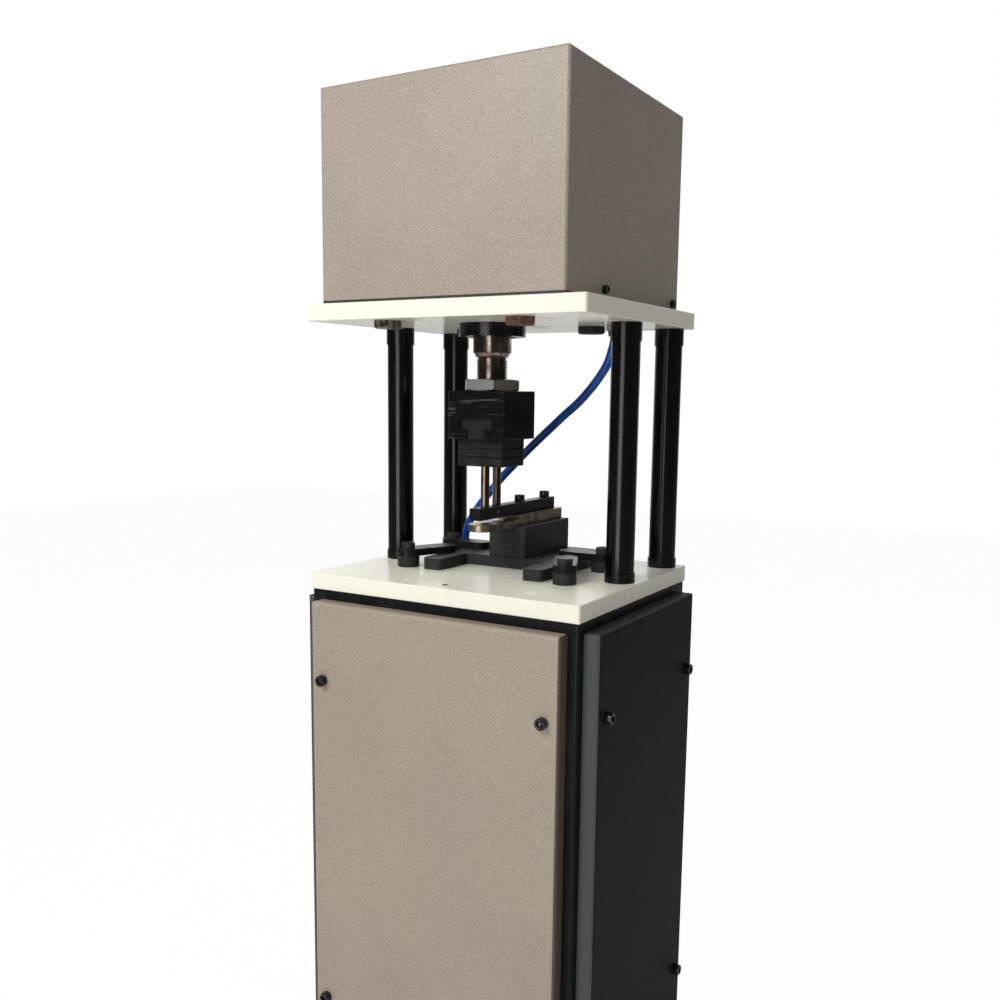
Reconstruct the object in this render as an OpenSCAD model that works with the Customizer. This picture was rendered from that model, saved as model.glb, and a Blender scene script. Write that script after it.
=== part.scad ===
// Air-driven punching press: a cabinet with a table plate, four pillars, a crown plate that carries
// the air cylinder under a sheet hood, and a two-punch tool over a narrow horn.
// The origin is on the floor under the middle of the machine, Z is up and the front faces -Y.

/* [Plates and throat] */
// How far both plates stand out beyond the hood at the left and the right
plate_step = 23; // [12:0.5:34]
// Thickness of both plates
plate_t = 19; // [17:1:26]
// Radius of the upright corners of both plates
plate_r = 3; // [1:0.5:8]
// Width of the bevel on the plates' edges
plate_bevel = 0.8; // [0.5:0.1:2]
// Height of the table's upper face above the floor
table_z = 650; // [600:5:760]

/* [Pillars] */
// Diameter of a pillar
pillar_d = 32; // [26:1:34]
// Distance of the outer pillars' axes from the plates' edges
pillar_inset = 23; // [20:0.5:30]
// Distance between the front and the rear pillars
pillar_pitch_y = 126; // [110:1:128]
// How far the collars at both ends of a pillar stand out
pillar_collar_step = 1.25; // [0.5:0.25:3]
// Height of a pillar's foot collar
foot_collar_h = 11; // [6:1:20]
// Height of a pillar's head collar
head_collar_h = 20; // [10:1:30]
// Diameter of the threaded studs that enter the plates
stud_d = 20; // [14:1:24]
// Length of those studs
stud_l = 14; // [10:1:16]

/* [Cabinet] */
// How far the frame stands back under the table plate at each side
frame_side_step = 1.5; // [0.5:0.25:3]
// How far the frame stands back under the table plate at the front and rear
frame_front_step = 2; // [0.5:0.25:3]
// Outer width of the square corner posts
post_w = 44; // [42:1:50]
// Wall of the posts and rails
tube_wall = 3; // [2:0.5:4]
// Radius of a post's upright edges
post_r = 3; // [1:0.5:5]
// Depth of a rail's section
rail_d = 30; // [24:1:36]
// Height of an upper rail's section
upper_rail_h = 40; // [30:1:60]
// Height of a lower rail's section
lower_rail_h = 30; // [20:1:50]
// Thickness of the plates that close the posts' lower ends
foot_plate_t = 5; // [4:0.5:8]
// Height of a rubber foot
foot_h = 25; // [15:1:35]
// Diameter of a rubber foot where it meets the floor
foot_d = 44; // [36:1:44]
// Diameter of a rubber foot at its top
foot_top_d = 38; // [30:1:44]
// Thickness of the floor pan
pan_t = 2; // [1.5:0.5:4]

/* [Covers] */
// Distance of the covers' upright edges from the frame's corners
cover_inset = 12; // [6:0.5:16]
// Height of the covers' lower edge above the floor
cover_lift = 43.4; // [36:0.2:60]
// How far a cover stands out from the frame
cover_depth = 18; // [12:1:26]
// Sheet thickness of the covers
cover_wall = 2; // [1.5:0.5:3]
// Outer bend radius of the covers
cover_r = 4; // [3.5:0.5:8]
// Distance of the covers' upper edge below the table plate
cover_drop = 11.6; // [6:0.2:20]
// How much higher the rear cover starts than the others
rear_cover_raise = 72; // [66:1:120]
// Distance of a cover screw from the cover's upper or lower edge
cover_screw_inset = 91; // [40:1:140]
// Distance of a front or rear cover's screw from its post's inner face
cover_screw_in = 14.5; // [12:0.5:16]
// Distance of a side cover's screw from its post's inner face
side_screw_in = 12; // [12:0.5:16]

/* [Hood] */
// Room between the cylinder's end caps and the hood at the left and the right
hood_side_room = 40; // [30:1:60]
// Room between the cylinder's end caps and the hood's front
hood_front_room = 4; // [2:0.5:20]
// Room between the tie rods' ends and the hood's top
hood_top_room = 12.5; // [4:0.5:40]
// Sheet thickness of the hood
hood_wall = 2; // [1.5:0.5:3]
// Outer bend radius of the hood
hood_r = 3.5; // [3.5:0.5:10]
// Thickness of the seal under the hood
hood_seal_t = 2.5; // [1:0.5:5]
// Height of the hood's side screws above its lower edge
hood_screw_rise = 8; // [6:0.5:14]
// Distance of the rear side screws from the hood's rear edge
hood_screw_inset = 20; // [18:0.5:40]
// Distance between the front and the rear side screws
hood_screw_pitch = 189; // [150:1:220]

/* [Air cylinder] */
// Distance of the ram's axis in front of the middle
ram_forward = 32; // [24:1:36]
// Bore of the cylinder
bore_d = 200; // [160:1:202]
// Wall of the cylinder's barrel
barrel_wall = 3.5; // [2.5:0.5:4.5]
// Distance of a tie rod from the edges of its end cap
cap_edge = 26; // [20:0.5:30]
// Radius of the end caps' upright corners
cap_r = 16; // [5:1:20]
// Height of an end cap
cap_h = 54; // [50:1:58]
// Height of the piston
piston_h = 60; // [30:1:64]
// Working stroke of the ram
stroke = 30; // [15:1:40]
// Room between the barrel and a tie rod
tie_gap = 7.3; // [2:0.1:12]
// Diameter of a tie rod
tie_rod_d = 16; // [12:1:18]
// Diameter of a cylinder mounting bolt
mount_bolt_d = 20; // [16:1:22]
// Distance across the flats of a mounting bolt's head
mount_bolt_af = 30; // [24:1:34]
// Height of a mounting bolt's head
mount_bolt_head_h = 8.5; // [8:0.5:14]
// Diameter of the gland that guides the rod under the crown
gland_d = 76; // [66:1:90]
// How far the gland stands out below the crown
gland_h = 15; // [8:0.5:20]

/* [Rod and nut] */
// Diameter of the piston rod
rod_d = 44; // [40:1:50]
// Distance across the rod's wrench flats
rod_flat_af = 41; // [36:0.5:43]
// Length of the wrench flats that show at rest
rod_flat_l = 18; // [12:0.5:24]
// Height of the bevel between the rod and its thread
rod_bevel_h = 5.5; // [3:0.5:8]
// Diameter of the rod's thread
rod_thread_d = 36; // [30:1:39]
// Length of thread that shows above the jam nut
rod_thread_show = 24; // [14:0.5:32]
// Thickness of the punch holder between the thread's end and the tee slot
holder_web = 7.5; // [6:0.5:12]
// Distance across the jam nut's flats
jam_nut_af = 60; // [50:1:65]
// Height of the jam nut
jam_nut_h = 13; // [8:0.5:20]
// Turn of the jam nut about the rod, in degrees
jam_nut_turn = 4; // [0:1:59]
// Length of the punches that shows above the stripper bar at rest
punch_show = 47.6; // [36:0.1:60]

/* [Punch tool] */
// Width of the punch holder
holder_w = 75; // [68:1:84]
// Depth of the punch holder
holder_d = 70; // [62:1:76]
// Height of the punch holder
holder_h = 54.5; // [52:0.5:60]
// Width of the tee slot's narrow neck
tee_neck_w = 23; // [20:0.5:28]
// Height of the tee slot's narrow neck
tee_neck_h = 11; // [8:0.5:12]
// Width of the tee slot's wide part
tee_head_w = 40; // [34:0.5:46]
// Height of the tee shank's wide part
tee_head_h = 12; // [10:0.5:13]
// Width of the two upper tool plates
tool_w = 59; // [56:1:66]
// Depth of the two upper tool plates
tool_d = 51.5; // [50:0.5:60]
// How far the lowest tool plate stands out beyond the others
retainer_step = 1.2; // [0.2:0.1:3]
// Thickness of each tool plate
tool_t = 10.3; // [9.5:0.1:12]
// Radius of the two upper tool plates' corners
tool_r = 2; // [1:0.5:4]
// Radius of the lowest tool plate's corners
retainer_r = 7; // [4:0.5:8]
// Width of the bevel on the edges of the holder, the tool plates and the die
edge_bevel = 1; // [0.4:0.1:1.5]
// Diameter of a punch
punch_d = 10; // [6:0.5:10.5]
// Distance between the two punches
punch_pitch = 26; // [24:0.5:28]
// Diameter of a punch's head
punch_head_d = 13; // [12:0.5:14]
// Height of a punch's head
punch_head_h = 5; // [3:0.5:6]

/* [Die and stripper] */
// Thickness of the base plate on the table
base_t = 13.5; // [12:0.5:20]
// Width of the base plate
base_w = 162; // [150:1:170]
// Distance of the base plate's front edge in front of the middle
base_front = 56; // [48:1:60]
// How far the base plate reaches behind the die block
base_rear_step = 3.5; // [1:0.5:8]
// Width of the gap between the base plate's front arms
base_gap_w = 111; // [100:1:116]
// Radius of the base plate's outer corners
base_r = 7; // [3:0.5:10]
// Radius of the arms' inner corners at the front
base_arm_r = 5; // [2:0.5:8]
// Radius in the corners of the gap between the arms
base_gap_r = 4; // [2:0.5:14]
// Width of the die block
block_w = 49.5; // [40:0.5:56]
// Height of the die block
block_h = 38; // [30:0.5:42]
// Distance of the die block's front face behind the middle
block_front = 5.5; // [5:0.5:12]
// Distance of the die block's rear face behind the middle
block_back = 121.5; // [115:0.5:122]
// Width of the die plate, the horn that carries the work
horn_w = 30; // [26:1:34]
// Thickness of the die plate
horn_t = 8; // [6:0.5:10]
// How far the die plate reaches in front of the front punch's axis
horn_tip = 22.5; // [20:0.5:30]
// How far the die plate reaches behind the die block
horn_rear_step = 2.5; // [1:0.5:6]
// Diameter of a die bush
bush_d = 18; // [16:0.5:20]
// Height of the slot between the die plate and the stripper
slot_h = 5; // [4.5:0.5:7]
// Width of the stripper bar
bar_w = 15; // [14:0.5:18]
// Height of the stripper bar above the slot
bar_h = 14; // [12:0.5:17]
// How far the die plate reaches behind the stripper bar
bar_rear_step = 10; // [4:0.5:16]
// Distance of the slot's inner end behind the middle
slot_back = 10; // [7:0.5:14]
// Distance of the front stripper screw behind the slot's inner end
bar_screw_front_in = 26; // [18:0.5:40]
// Distance of the rear stripper screw from the bar's rear end
bar_screw_rear_in = 14.5; // [10:0.5:30]

/* [Clamps] */
// Diameter of a clamp's riser and width of its strap
clamp_d = 26.5; // [24:0.5:30]
// Thickness of a clamp strap
strap_t = 8.5; // [7:0.5:12]
// Room between the base plate and the risers
riser_gap = 12.2; // [6:0.1:16]
// Distance of the front risers in front of the middle
riser_front = 48; // [40:1:52]
// Room between the rear risers and the lower hose fitting
riser_back_gap = 13; // [6:0.5:20]
// Distance between a strap's two round ends on the front clamps
front_strap_l = 52; // [46:1:58]
// Distance between a strap's two round ends on the rear clamps
rear_strap_l = 42; // [38:1:46]
// Angle of the front straps from the X direction, in degrees
front_strap_turn = 65; // [50:1:70]
// Angle of the rear straps from the X direction, in degrees
rear_strap_turn = 2; // [0:1:8]
// Diameter of a clamp bolt
clamp_bolt_d = 10; // [8:1:12]
// Diameter of the socket heads on three of the clamp bolts
clamp_cap_d = 16; // [13:0.5:18]
// Distance across the flats of the front right clamp bolt's head
clamp_bolt_af = 17; // [13:1:19]
// Height of a clamp bolt's head
clamp_bolt_head_h = 7; // [5:0.5:8]

/* [Air hose] */
// Outer diameter of the hose
hose_d = 10; // [8:0.5:12]
// Distance of the upper hose fitting from the cylinder's end caps
upper_fitting_out = 18; // [14:0.5:20]
// Distance of the upper hose fitting behind the middle
upper_fitting_y = 20; // [18:1:24]
// Room between the valve and the left upper rail
valve_side_gap = 10.5; // [4:0.5:16]
// Room between the valve and the rear left post's inner face
valve_rear_gap = 1; // [1:0.5:4]
// Height of the upper hose fitting below the crown
upper_fitting_h = 11; // [9:0.5:16]
// Height of the lower hose fitting above the table
lower_fitting_h = 12; // [9:0.5:16]

/* [Hidden] */

$fn = 64;
SIDES = [-1, 1];
// Extra length of every cut past the face that it opens
overrun = 1;
// Radial room around a screw or stud in its hole
screw_gap = 0.2;
// Radial room of a pressed or turned fit
press_gap = 0.05;
// Radial room of a running fit
slide_gap = 0.08;
// Room between pieces that move past each other
run_gap = 0.4;

// Plan of the cylinder, the hood, the plates and the frame, each from the one before
tie_offset = round((bore_d / 2 + barrel_wall + tie_gap + tie_rod_d / 2) * cos(45));
cap_w = 2 * (tie_offset + cap_edge);
hood_w = cap_w + 2 * (hood_side_room + hood_wall);
hood_d = cap_w + 2 * (ram_forward + hood_front_room + hood_wall);
plate_w = hood_w + 2 * plate_step;
plate_d = hood_d;
pillar_x = plate_w / 2 - pillar_inset;
pillar_back = plate_d / 2 - pillar_inset - pillar_pitch_y / 2;
pillar_collar_d = pillar_d + 2 * pillar_collar_step;
frame_w = plate_w - 2 * frame_side_step;
frame_d = plate_d - 2 * frame_front_step;
cover_w = frame_w - 2 * cover_inset;
side_cover_w = frame_d - 2 * cover_inset;
ram_y = -ram_forward;

// Heights of the main levels, the throat as high as the die, the tool and the rod need
throat_h = base_t + block_h + horn_t + slot_h + bar_h + punch_show + 3 * tool_t + holder_h
    + jam_nut_h + rod_thread_show + rod_bevel_h + rod_flat_l + gland_h;
foot_plate_z = foot_h;
frame_z = foot_plate_z + foot_plate_t;
table_under_z = table_z - plate_t;
crown_z = table_z + throat_h;
crown_top_z = crown_z + plate_t;
rod_thread_in = holder_h - tee_neck_h - tee_head_h - holder_web;

// Levels of the ram at rest, from the crown downwards
gland_z = crown_z - gland_h;
flat_z = gland_z - rod_flat_l;
thread_top_z = flat_z - rod_bevel_h;
jam_nut_z = thread_top_z - rod_thread_show - jam_nut_h;
holder_z = jam_nut_z - holder_h;
backing_z = holder_z - tool_t;
punch_plate_z = backing_z - tool_t;
retainer_z = punch_plate_z - tool_t;

// Levels of the cylinder, from the crown upwards
front_cap_top_z = crown_top_z + cap_h;
// Room between the piston and each end cap
piston_room = 2;
barrel_h = piston_h + stroke + 2 * piston_room;
rear_cap_z = front_cap_top_z + barrel_h;
rear_cap_top_z = rear_cap_z + cap_h;
piston_z = rear_cap_z - piston_room - piston_h;
// Nuts of the tie rods, and how far the rods stand out of them
tie_nut_af = 24;
tie_nut_h = 10;
tie_end = 2;

// Plan and levels of the die, from the table upwards
base_back = block_back + base_rear_step;
horn_front = ram_forward + punch_pitch / 2 + horn_tip;
horn_back = block_back + horn_rear_step;
bar_back = horn_back - bar_rear_step;
bar_screw_front = slot_back + bar_screw_front_in;
bar_screw_back = bar_back - bar_screw_rear_in;
block_z = table_z + base_t;
horn_z = block_z + block_h;
slot_z = horn_z + horn_t;
bar_z = slot_z + slot_h;
bar_top_z = bar_z + bar_h;
// How far a resting punch still reaches into the stripper bar, measured from its upper face
punch_guide_l = 12;
punch_tip_z = bar_top_z - punch_guide_l;

// Socket head cap screws of the covers and of the hood
cover_screw_d = 8;
cover_screw_head_d = 13;
cover_screw_head_h = 8;
cover_nut_af = 13;
cover_nut_h = 6;
spacer_d = 16;
hood_screw_d = 5;
hood_screw_head_d = 9;
hood_screw_head_h = 5;

// Places of the covers, each named by the side that it closes
COVERS = ["front", "right", "rear", "left"];
cover_top_z = table_under_z - cover_drop;
function turn_of(side) = search([side], COVERS)[0] * 90;
function beside(side) = side == "right" || side == "left";
function reach_of(side) = (beside(side) ? frame_w : frame_d) / 2;
function width_of(side) = beside(side) ? side_cover_w : cover_w;
function height_of(side) = cover_top_z - cover_lift - (side == "rear" ? rear_cover_raise : 0);
function middle_of(side) = cover_top_z - height_of(side) / 2;
function screw_of(side) = reach_of(beside(side) ? "front" : "right") - post_w
    + (beside(side) ? side_screw_in : cover_screw_in);

// Hex head of a bolt on Z, from zero upwards
module hex(af, h) {
    cylinder(d = af / cos(30), h = h, $fn = 6);
}

// Hex nut or head with its corners turned off at the top
module turned_hex(af, h, bevel_share = 0.12) {
    corner_d = af / cos(30);
    intersection() {
        hex(af, h);
        union() {
            cylinder(d = corner_d, h = h - af * bevel_share / 2);
            translate([0, 0, h - af * bevel_share / 2])
                cylinder(d1 = corner_d, d2 = af * (1 - bevel_share / 2), h = af * bevel_share / 2);
        }
    }
}

// Round body on zero with a bevel around its upper edge
module bevelled_disc(d, h, bevel) {
    cylinder(d = d, h = h - bevel);
    translate([0, 0, h - bevel]) cylinder(d1 = d, d2 = d - 2 * bevel, h = bevel);
}

// Socket head cap screw: the head stands up from zero, the shank goes down
module cap_screw(d, l, head_d, head_h) {
    socket_share = 0.5;
    bevel_share = 0.1;
    difference() {
        union() {
            bevelled_disc(head_d, head_h, d * bevel_share);
            translate([0, 0, -l]) cylinder(d = d, h = l);
        }
        translate([0, 0, head_h * (1 - socket_share)])
            hex(d * (1 - socket_share / 3), head_h * socket_share + overrun);
    }
}

// Rectangle with round corners, centred on the origin
module round_rect(w, d, r) {
    square([w - 2 * r, d], center = true);
    square([w, d - 2 * r], center = true);
    for (x = SIDES, y = SIDES) translate([x * (w / 2 - r), y * (d / 2 - r)]) circle(r);
}

// Plate with round upright corners, standing on zero
module round_block(w, d, h, r) {
    linear_extrude(h) round_rect(w, d, r);
}

// Rectangle with bevelled corners, centred on the origin
module bevelled_rect(w, d, bevel) {
    x = w / 2;
    y = d / 2;
    polygon([
        [bevel - x, -y], [x - bevel, -y], [x, bevel - y], [x, y - bevel],
        [x - bevel, y], [bevel - x, y], [-x, y - bevel], [-x, bevel - y]]);
}

// Plate with round upright corners and bevelled level edges, standing on zero
module bevelled_plate(w, d, h, r, bevel) {
    intersection() {
        round_block(w, d, h, r);
        translate([0, d / 2, h / 2]) rotate([90, 0, 0]) linear_extrude(d) bevelled_rect(w, h, bevel);
        translate([-w / 2, 0, h / 2]) rotate([90, 0, 90]) linear_extrude(w) bevelled_rect(d, h, bevel);
    }
}

// Block with all its edges bevelled, standing on zero
module bevelled_block(w, d, h, bevel) {
    intersection() {
        linear_extrude(h) bevelled_rect(w, d, bevel);
        translate([0, d / 2, h / 2]) rotate([90, 0, 0]) linear_extrude(d) bevelled_rect(w, h, bevel);
        translate([-w / 2, 0, h / 2]) rotate([90, 0, 90]) linear_extrude(w) bevelled_rect(d, h, bevel);
    }
}

// Outline of a cover seen from its edge: square below, bent round at the top
module bent_outline(w, h, r) {
    translate([-w / 2, 0]) square([w, h - r]);
    translate([-w / 2 + r, 0]) square([w - 2 * r, h]);
    for (x = SIDES) translate([x * (w / 2 - r), h - r]) circle(r);
}

// Solid of a bent cover that stands on zero, with all edges but the lowest ones round
module bent_solid(w, d, h, r) {
    intersection() {
        round_block(w, d, h, r);
        translate([0, d / 2, 0]) rotate([90, 0, 0]) linear_extrude(d) bent_outline(w, h, r);
        translate([-w / 2, 0, 0]) rotate([90, 0, 90]) linear_extrude(w) bent_outline(d, h, r);
    }
}

// Hollow bent cover, open at zero
module bent_shell(w, d, h, r, wall) {
    difference() {
        bent_solid(w, d, h, r);
        translate([0, 0, -overrun])
            bent_solid(w - 2 * wall, d - 2 * wall, h - wall + overrun, r - wall);
    }
}

// Square or flat tube along Z from zero
module tube(w, d, h, r) {
    linear_extrude(h) difference() {
        round_rect(w, d, r);
        square([w - 2 * tube_wall, d - 2 * tube_wall], center = true);
    }
}

// Puts a piece at the middle of a side's cover, on the frame, with Z pointing outwards
module on_side(side) {
    rotate([0, 0, turn_of(side)]) translate([0, -reach_of(side), middle_of(side)])
        rotate([90, 0, 0]) children();
}

// Puts a piece at each of the four screws of a cover
module at_cover_screws(side) {
    on_side(side) for (x = SIDES, y = SIDES)
        translate([x * screw_of(side), y * (height_of(side) / 2 - cover_screw_inset), 0]) children();
}

// Puts a piece at each post's axis
module at_posts() {
    for (x = SIDES, y = SIDES)
        translate([x * (frame_w - post_w) / 2, y * (frame_d - post_w) / 2, 0]) children();
}

// Puts a piece on the ram's axis
module at_ram() {
    translate([0, ram_y, 0]) children();
}

// Puts a piece at each of the cylinder's four corners
module at_ties() {
    at_ram() for (x = SIDES, y = SIDES) translate([x * tie_offset, y * tie_offset, 0]) children();
}

// Puts a piece at each punch
module at_punches() {
    at_ram() for (y = SIDES) translate([0, y * punch_pitch / 2, 0]) children();
}

// Puts a piece at each pillar's axis
module at_pillars() {
    for (x = SIDES, y = SIDES)
        translate([x * pillar_x, pillar_back + y * pillar_pitch_y / 2, 0]) children();
}

// Foot bolt, its nut and the counterbore in the rubber
foot_bolt_d = 10;
foot_bolt_af = 17;
foot_bolt_head_h = 7;
foot_nut_h = 8;
foot_recess_d = 24;
foot_recess_h = 12;

module rubber_feet() {
    color("#1c1c1e") at_posts() difference() {
        cylinder(d1 = foot_d, d2 = foot_top_d, h = foot_h);
        translate([0, 0, -overrun]) cylinder(d = foot_bolt_d + 2 * screw_gap, h = foot_h + 2 * overrun);
        translate([0, 0, -overrun]) cylinder(d = foot_recess_d, h = foot_recess_h + overrun);
    }
}

module foot_bolts() {
    color("#8e9092") at_posts() {
        translate([0, 0, foot_recess_h - foot_bolt_head_h]) {
            hex(foot_bolt_af, foot_bolt_head_h);
            cylinder(d = foot_bolt_d, h = frame_z + foot_nut_h - foot_recess_h + foot_bolt_head_h + tube_wall);
        }
        translate([0, 0, frame_z]) difference() {
            turned_hex(foot_bolt_af, foot_nut_h);
            translate([0, 0, -overrun])
                cylinder(d = foot_bolt_d + 2 * press_gap, h = foot_nut_h + 2 * overrun);
        }
    }
}

module corner_posts() {
    post_h = table_under_z - frame_z;
    color("#17181a") {
        difference() {
            at_posts() translate([0, 0, frame_z]) tube(post_w, post_w, post_h, post_r);
            for (side = COVERS) at_cover_screws(side)
                translate([0, 0, -tube_wall - overrun])
                    cylinder(d = cover_screw_d + 2 * screw_gap, h = tube_wall + 2 * overrun);
        }
        at_posts() translate([0, 0, foot_plate_z]) difference() {
            round_block(post_w, post_w, foot_plate_t, post_r);
            translate([0, 0, -overrun])
                cylinder(d = foot_bolt_d + 2 * screw_gap, h = foot_plate_t + 2 * overrun);
        }
        for (side = COVERS) at_cover_screws(side) translate([0, 0, -tube_wall - cover_nut_h]) difference() {
            hex(cover_nut_af, cover_nut_h);
            translate([0, 0, -overrun])
                cylinder(d = cover_screw_d + 2 * screw_gap, h = cover_nut_h + 2 * overrun);
        }
    }
}

// A rail between two posts, along X at the front and rear or along Y at the sides
module rails(h) {
    for (y = SIDES)
        translate([-(frame_w / 2 - post_w), y * (frame_d - rail_d) / 2, h / 2])
            rotate([90, 0, 90]) tube(rail_d, h, frame_w - 2 * post_w, post_r);
    for (x = SIDES)
        translate([x * (frame_w - rail_d) / 2, frame_d / 2 - post_w, h / 2])
            rotate([90, 0, 0]) tube(rail_d, h, frame_d - 2 * post_w, post_r);
}

module lower_rails() {
    color("#17181a") translate([0, 0, frame_z]) rails(lower_rail_h);
}

// Bolts that hold the table down through the front and rear upper rails
table_bolt_d = 10;
table_bolt_head_d = 16;
table_bolt_head_h = 10;
table_bolt_in = 12;
table_bolt_x = 75;

module at_table_bolts() {
    for (x = SIDES, y = SIDES)
        translate([x * table_bolt_x, y * (frame_d - rail_d) / 2, table_under_z - upper_rail_h]) children();
}

module upper_rails() {
    color("#17181a") difference() {
        translate([0, 0, table_under_z - upper_rail_h]) rails(upper_rail_h);
        at_table_bolts() translate([0, 0, -overrun])
            cylinder(d = table_bolt_d + 2 * screw_gap, h = upper_rail_h + 2 * overrun);
    }
}

module table_bolts() {
    color("#2a2b2d") at_table_bolts() rotate([180, 0, 0])
        cap_screw(table_bolt_d, upper_rail_h + table_bolt_in, table_bolt_head_d, table_bolt_head_h);
}

// Room between the floor pan's edge and the frame's outer faces, and around the posts
pan_inset = 6;
pan_post_gap = 0.5;

module floor_pan() {
    w = frame_w - 2 * pan_inset;
    d = frame_d - 2 * pan_inset;
    notch = post_w - pan_inset + pan_post_gap;
    color("#3a3b3d") translate([0, 0, frame_z + lower_rail_h]) linear_extrude(pan_t) difference() {
        square([w, d], center = true);
        for (x = SIDES, y = SIDES) translate([x * (w - notch) / 2, y * (d - notch) / 2])
            square(notch + pan_post_gap, center = true);
    }
}

// Plate under the rear cover that carries the air inlet
service_t = 3;
// How far the service plate reaches up behind the rear cover
service_lap = 10;
service_h = cover_lift + rear_cover_raise + service_lap - frame_z - lower_rail_h;
service_gap = 0.3;
inlet_d = 20;
inlet_nut_af = 27;
inlet_nut_h = 6;
inlet_bore_d = 8;
inlet_x = 60;

module service_plate() {
    color("#17181a")
        translate([0, frame_d / 2, frame_z + lower_rail_h]) rotate([90, 0, 0]) difference() {
            translate([-frame_w / 2 + post_w + service_gap, 0, 0])
                cube([frame_w - 2 * post_w - 2 * service_gap, service_h, service_t]);
            translate([inlet_x, service_h / 2, -overrun])
                cylinder(d = inlet_d + 2 * screw_gap, h = service_t + 2 * overrun);
        }
}

module air_inlet_fitting() {
    color("#b9a35a")
        translate([inlet_x, frame_d / 2, frame_z + lower_rail_h + service_h / 2]) rotate([-90, 0, 0])
            difference() {
                union() {
                    hex(inlet_nut_af, inlet_nut_h);
                    cylinder(d = inlet_d - 2 * screw_gap, h = cover_depth);
                    translate([0, 0, -service_t]) cylinder(d = inlet_d, h = service_t);
                    translate([0, 0, -service_t - inlet_nut_h]) hex(inlet_nut_af, inlet_nut_h);
                }
                translate([0, 0, -service_t - inlet_nut_h - overrun])
                    cylinder(d = inlet_bore_d, h = cover_depth + service_t + inlet_nut_h + 2 * overrun);
            }
}

// Dished sheet cover with its four screw holes
module cover(side) {
    difference() {
        on_side(side) bent_shell(width_of(side), height_of(side), cover_depth, cover_r, cover_wall);
        at_cover_screws(side) cylinder(d = cover_screw_d + 2 * screw_gap, h = cover_depth + overrun);
    }
}

module front_panel() {
    color("#a39b8d") cover("front");
}

module rear_panel() {
    color("#46443f") cover("rear");
}

module left_panel() {
    color("#46443f") cover("left");
}

module right_panel() {
    color("#46443f") cover("right");
}

module panel_spacers() {
    color("#8e9092") for (side = COVERS) at_cover_screws(side) difference() {
        cylinder(d = spacer_d, h = cover_depth - cover_wall);
        translate([0, 0, -overrun])
            cylinder(d = cover_screw_d + 2 * screw_gap, h = cover_depth + overrun);
    }
}

module panel_screws() {
    screw_l = cover_depth + tube_wall + cover_nut_h;
    color("#1b1b1c") for (side = COVERS) at_cover_screws(side) translate([0, 0, cover_depth])
        cap_screw(cover_screw_d, screw_l, cover_screw_head_d, cover_screw_head_h);
}

// Spare tapped hole near the table's front edge
spare_hole_d = 8;
spare_hole_front = 127;
// Stem of the hose fittings where it passes a plate
stem_d = 12;
// Thread of a clamp bolt inside the table
clamp_bolt_in = 16;
riser_x = base_w / 2 + riser_gap + clamp_d / 2;
// Screws that hold the valve under the table
valve_screw_d = 5;
valve_screw_in = 9;

module at_risers() {
    for (x = SIDES) {
        translate([x * riser_x, -riser_front, 0]) children();
        translate([x * riser_x, riser_back, 0]) children();
    }
}

module table_plate() {
    color("#e9e6dc") difference() {
        translate([0, 0, table_under_z]) bevelled_plate(plate_w, plate_d, plate_t, plate_r, plate_bevel);
        translate([0, 0, table_z - stud_l - overrun]) at_pillars()
            cylinder(d = stud_d + 2 * screw_gap, h = stud_l + 2 * overrun);
        translate([0, 0, table_z - clamp_bolt_in - overrun]) at_risers()
            cylinder(d = clamp_bolt_d + 2 * screw_gap, h = clamp_bolt_in + 2 * overrun);
        translate([-lower_fitting_x, lower_fitting_y, table_under_z - overrun])
            cylinder(d = stem_d + 2 * screw_gap, h = plate_t + 2 * overrun);
        translate([0, -spare_hole_front, table_under_z - overrun])
            cylinder(d = spare_hole_d, h = plate_t + 2 * overrun);
        at_table_bolts() cylinder(
            d = table_bolt_d + 2 * screw_gap, h = upper_rail_h + table_bolt_in + overrun);
        at_valve_screws() translate([0, 0, -overrun])
            cylinder(d = valve_screw_d + 2 * screw_gap, h = valve_screw_in + 2 * overrun);
    }
}

module crown_plate() {
    color("#e9e6dc") difference() {
        translate([0, 0, crown_z]) bevelled_plate(plate_w, plate_d, plate_t, plate_r, plate_bevel);
        translate([0, 0, crown_z - overrun]) at_pillars()
            cylinder(d = stud_d + 2 * screw_gap, h = stud_l + 2 * overrun);
        translate([0, 0, crown_z - overrun]) at_ties()
            cylinder(d = mount_bolt_d + 2 * screw_gap, h = plate_t + 2 * overrun);
        translate([0, 0, crown_z - overrun]) at_ram()
            cylinder(d = gland_d + 2 * screw_gap, h = plate_t + 2 * overrun);
        translate([upper_fitting_x, upper_fitting_y, crown_z - overrun])
            cylinder(d = stem_d + 2 * screw_gap, h = plate_t + 2 * overrun);
        translate([0, 0, crown_top_z - bracket_screw_in - overrun]) at_brackets()
            translate([-bracket_l / 2, 0, 0])
                cylinder(d = hood_screw_d + 2 * screw_gap, h = bracket_screw_in + 2 * overrun);
    }
}

// Ground pillar with a collar and a threaded stud at each end
module pillar(x, y) {
    color("#101012") translate([x * pillar_x, pillar_back + y * pillar_pitch_y / 2, table_z]) {
        translate([0, 0, -stud_l]) cylinder(d = stud_d, h = throat_h + 2 * stud_l);
        cylinder(d = pillar_d, h = throat_h);
        cylinder(d = pillar_collar_d, h = foot_collar_h);
        translate([0, 0, throat_h - head_collar_h]) cylinder(d = pillar_collar_d, h = head_collar_h);
    }
}

module front_left_pillar() {
    pillar(-1, -1);
}

module front_right_pillar() {
    pillar(1, -1);
}

module rear_left_pillar() {
    pillar(-1, 1);
}

module rear_right_pillar() {
    pillar(1, 1);
}

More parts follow.
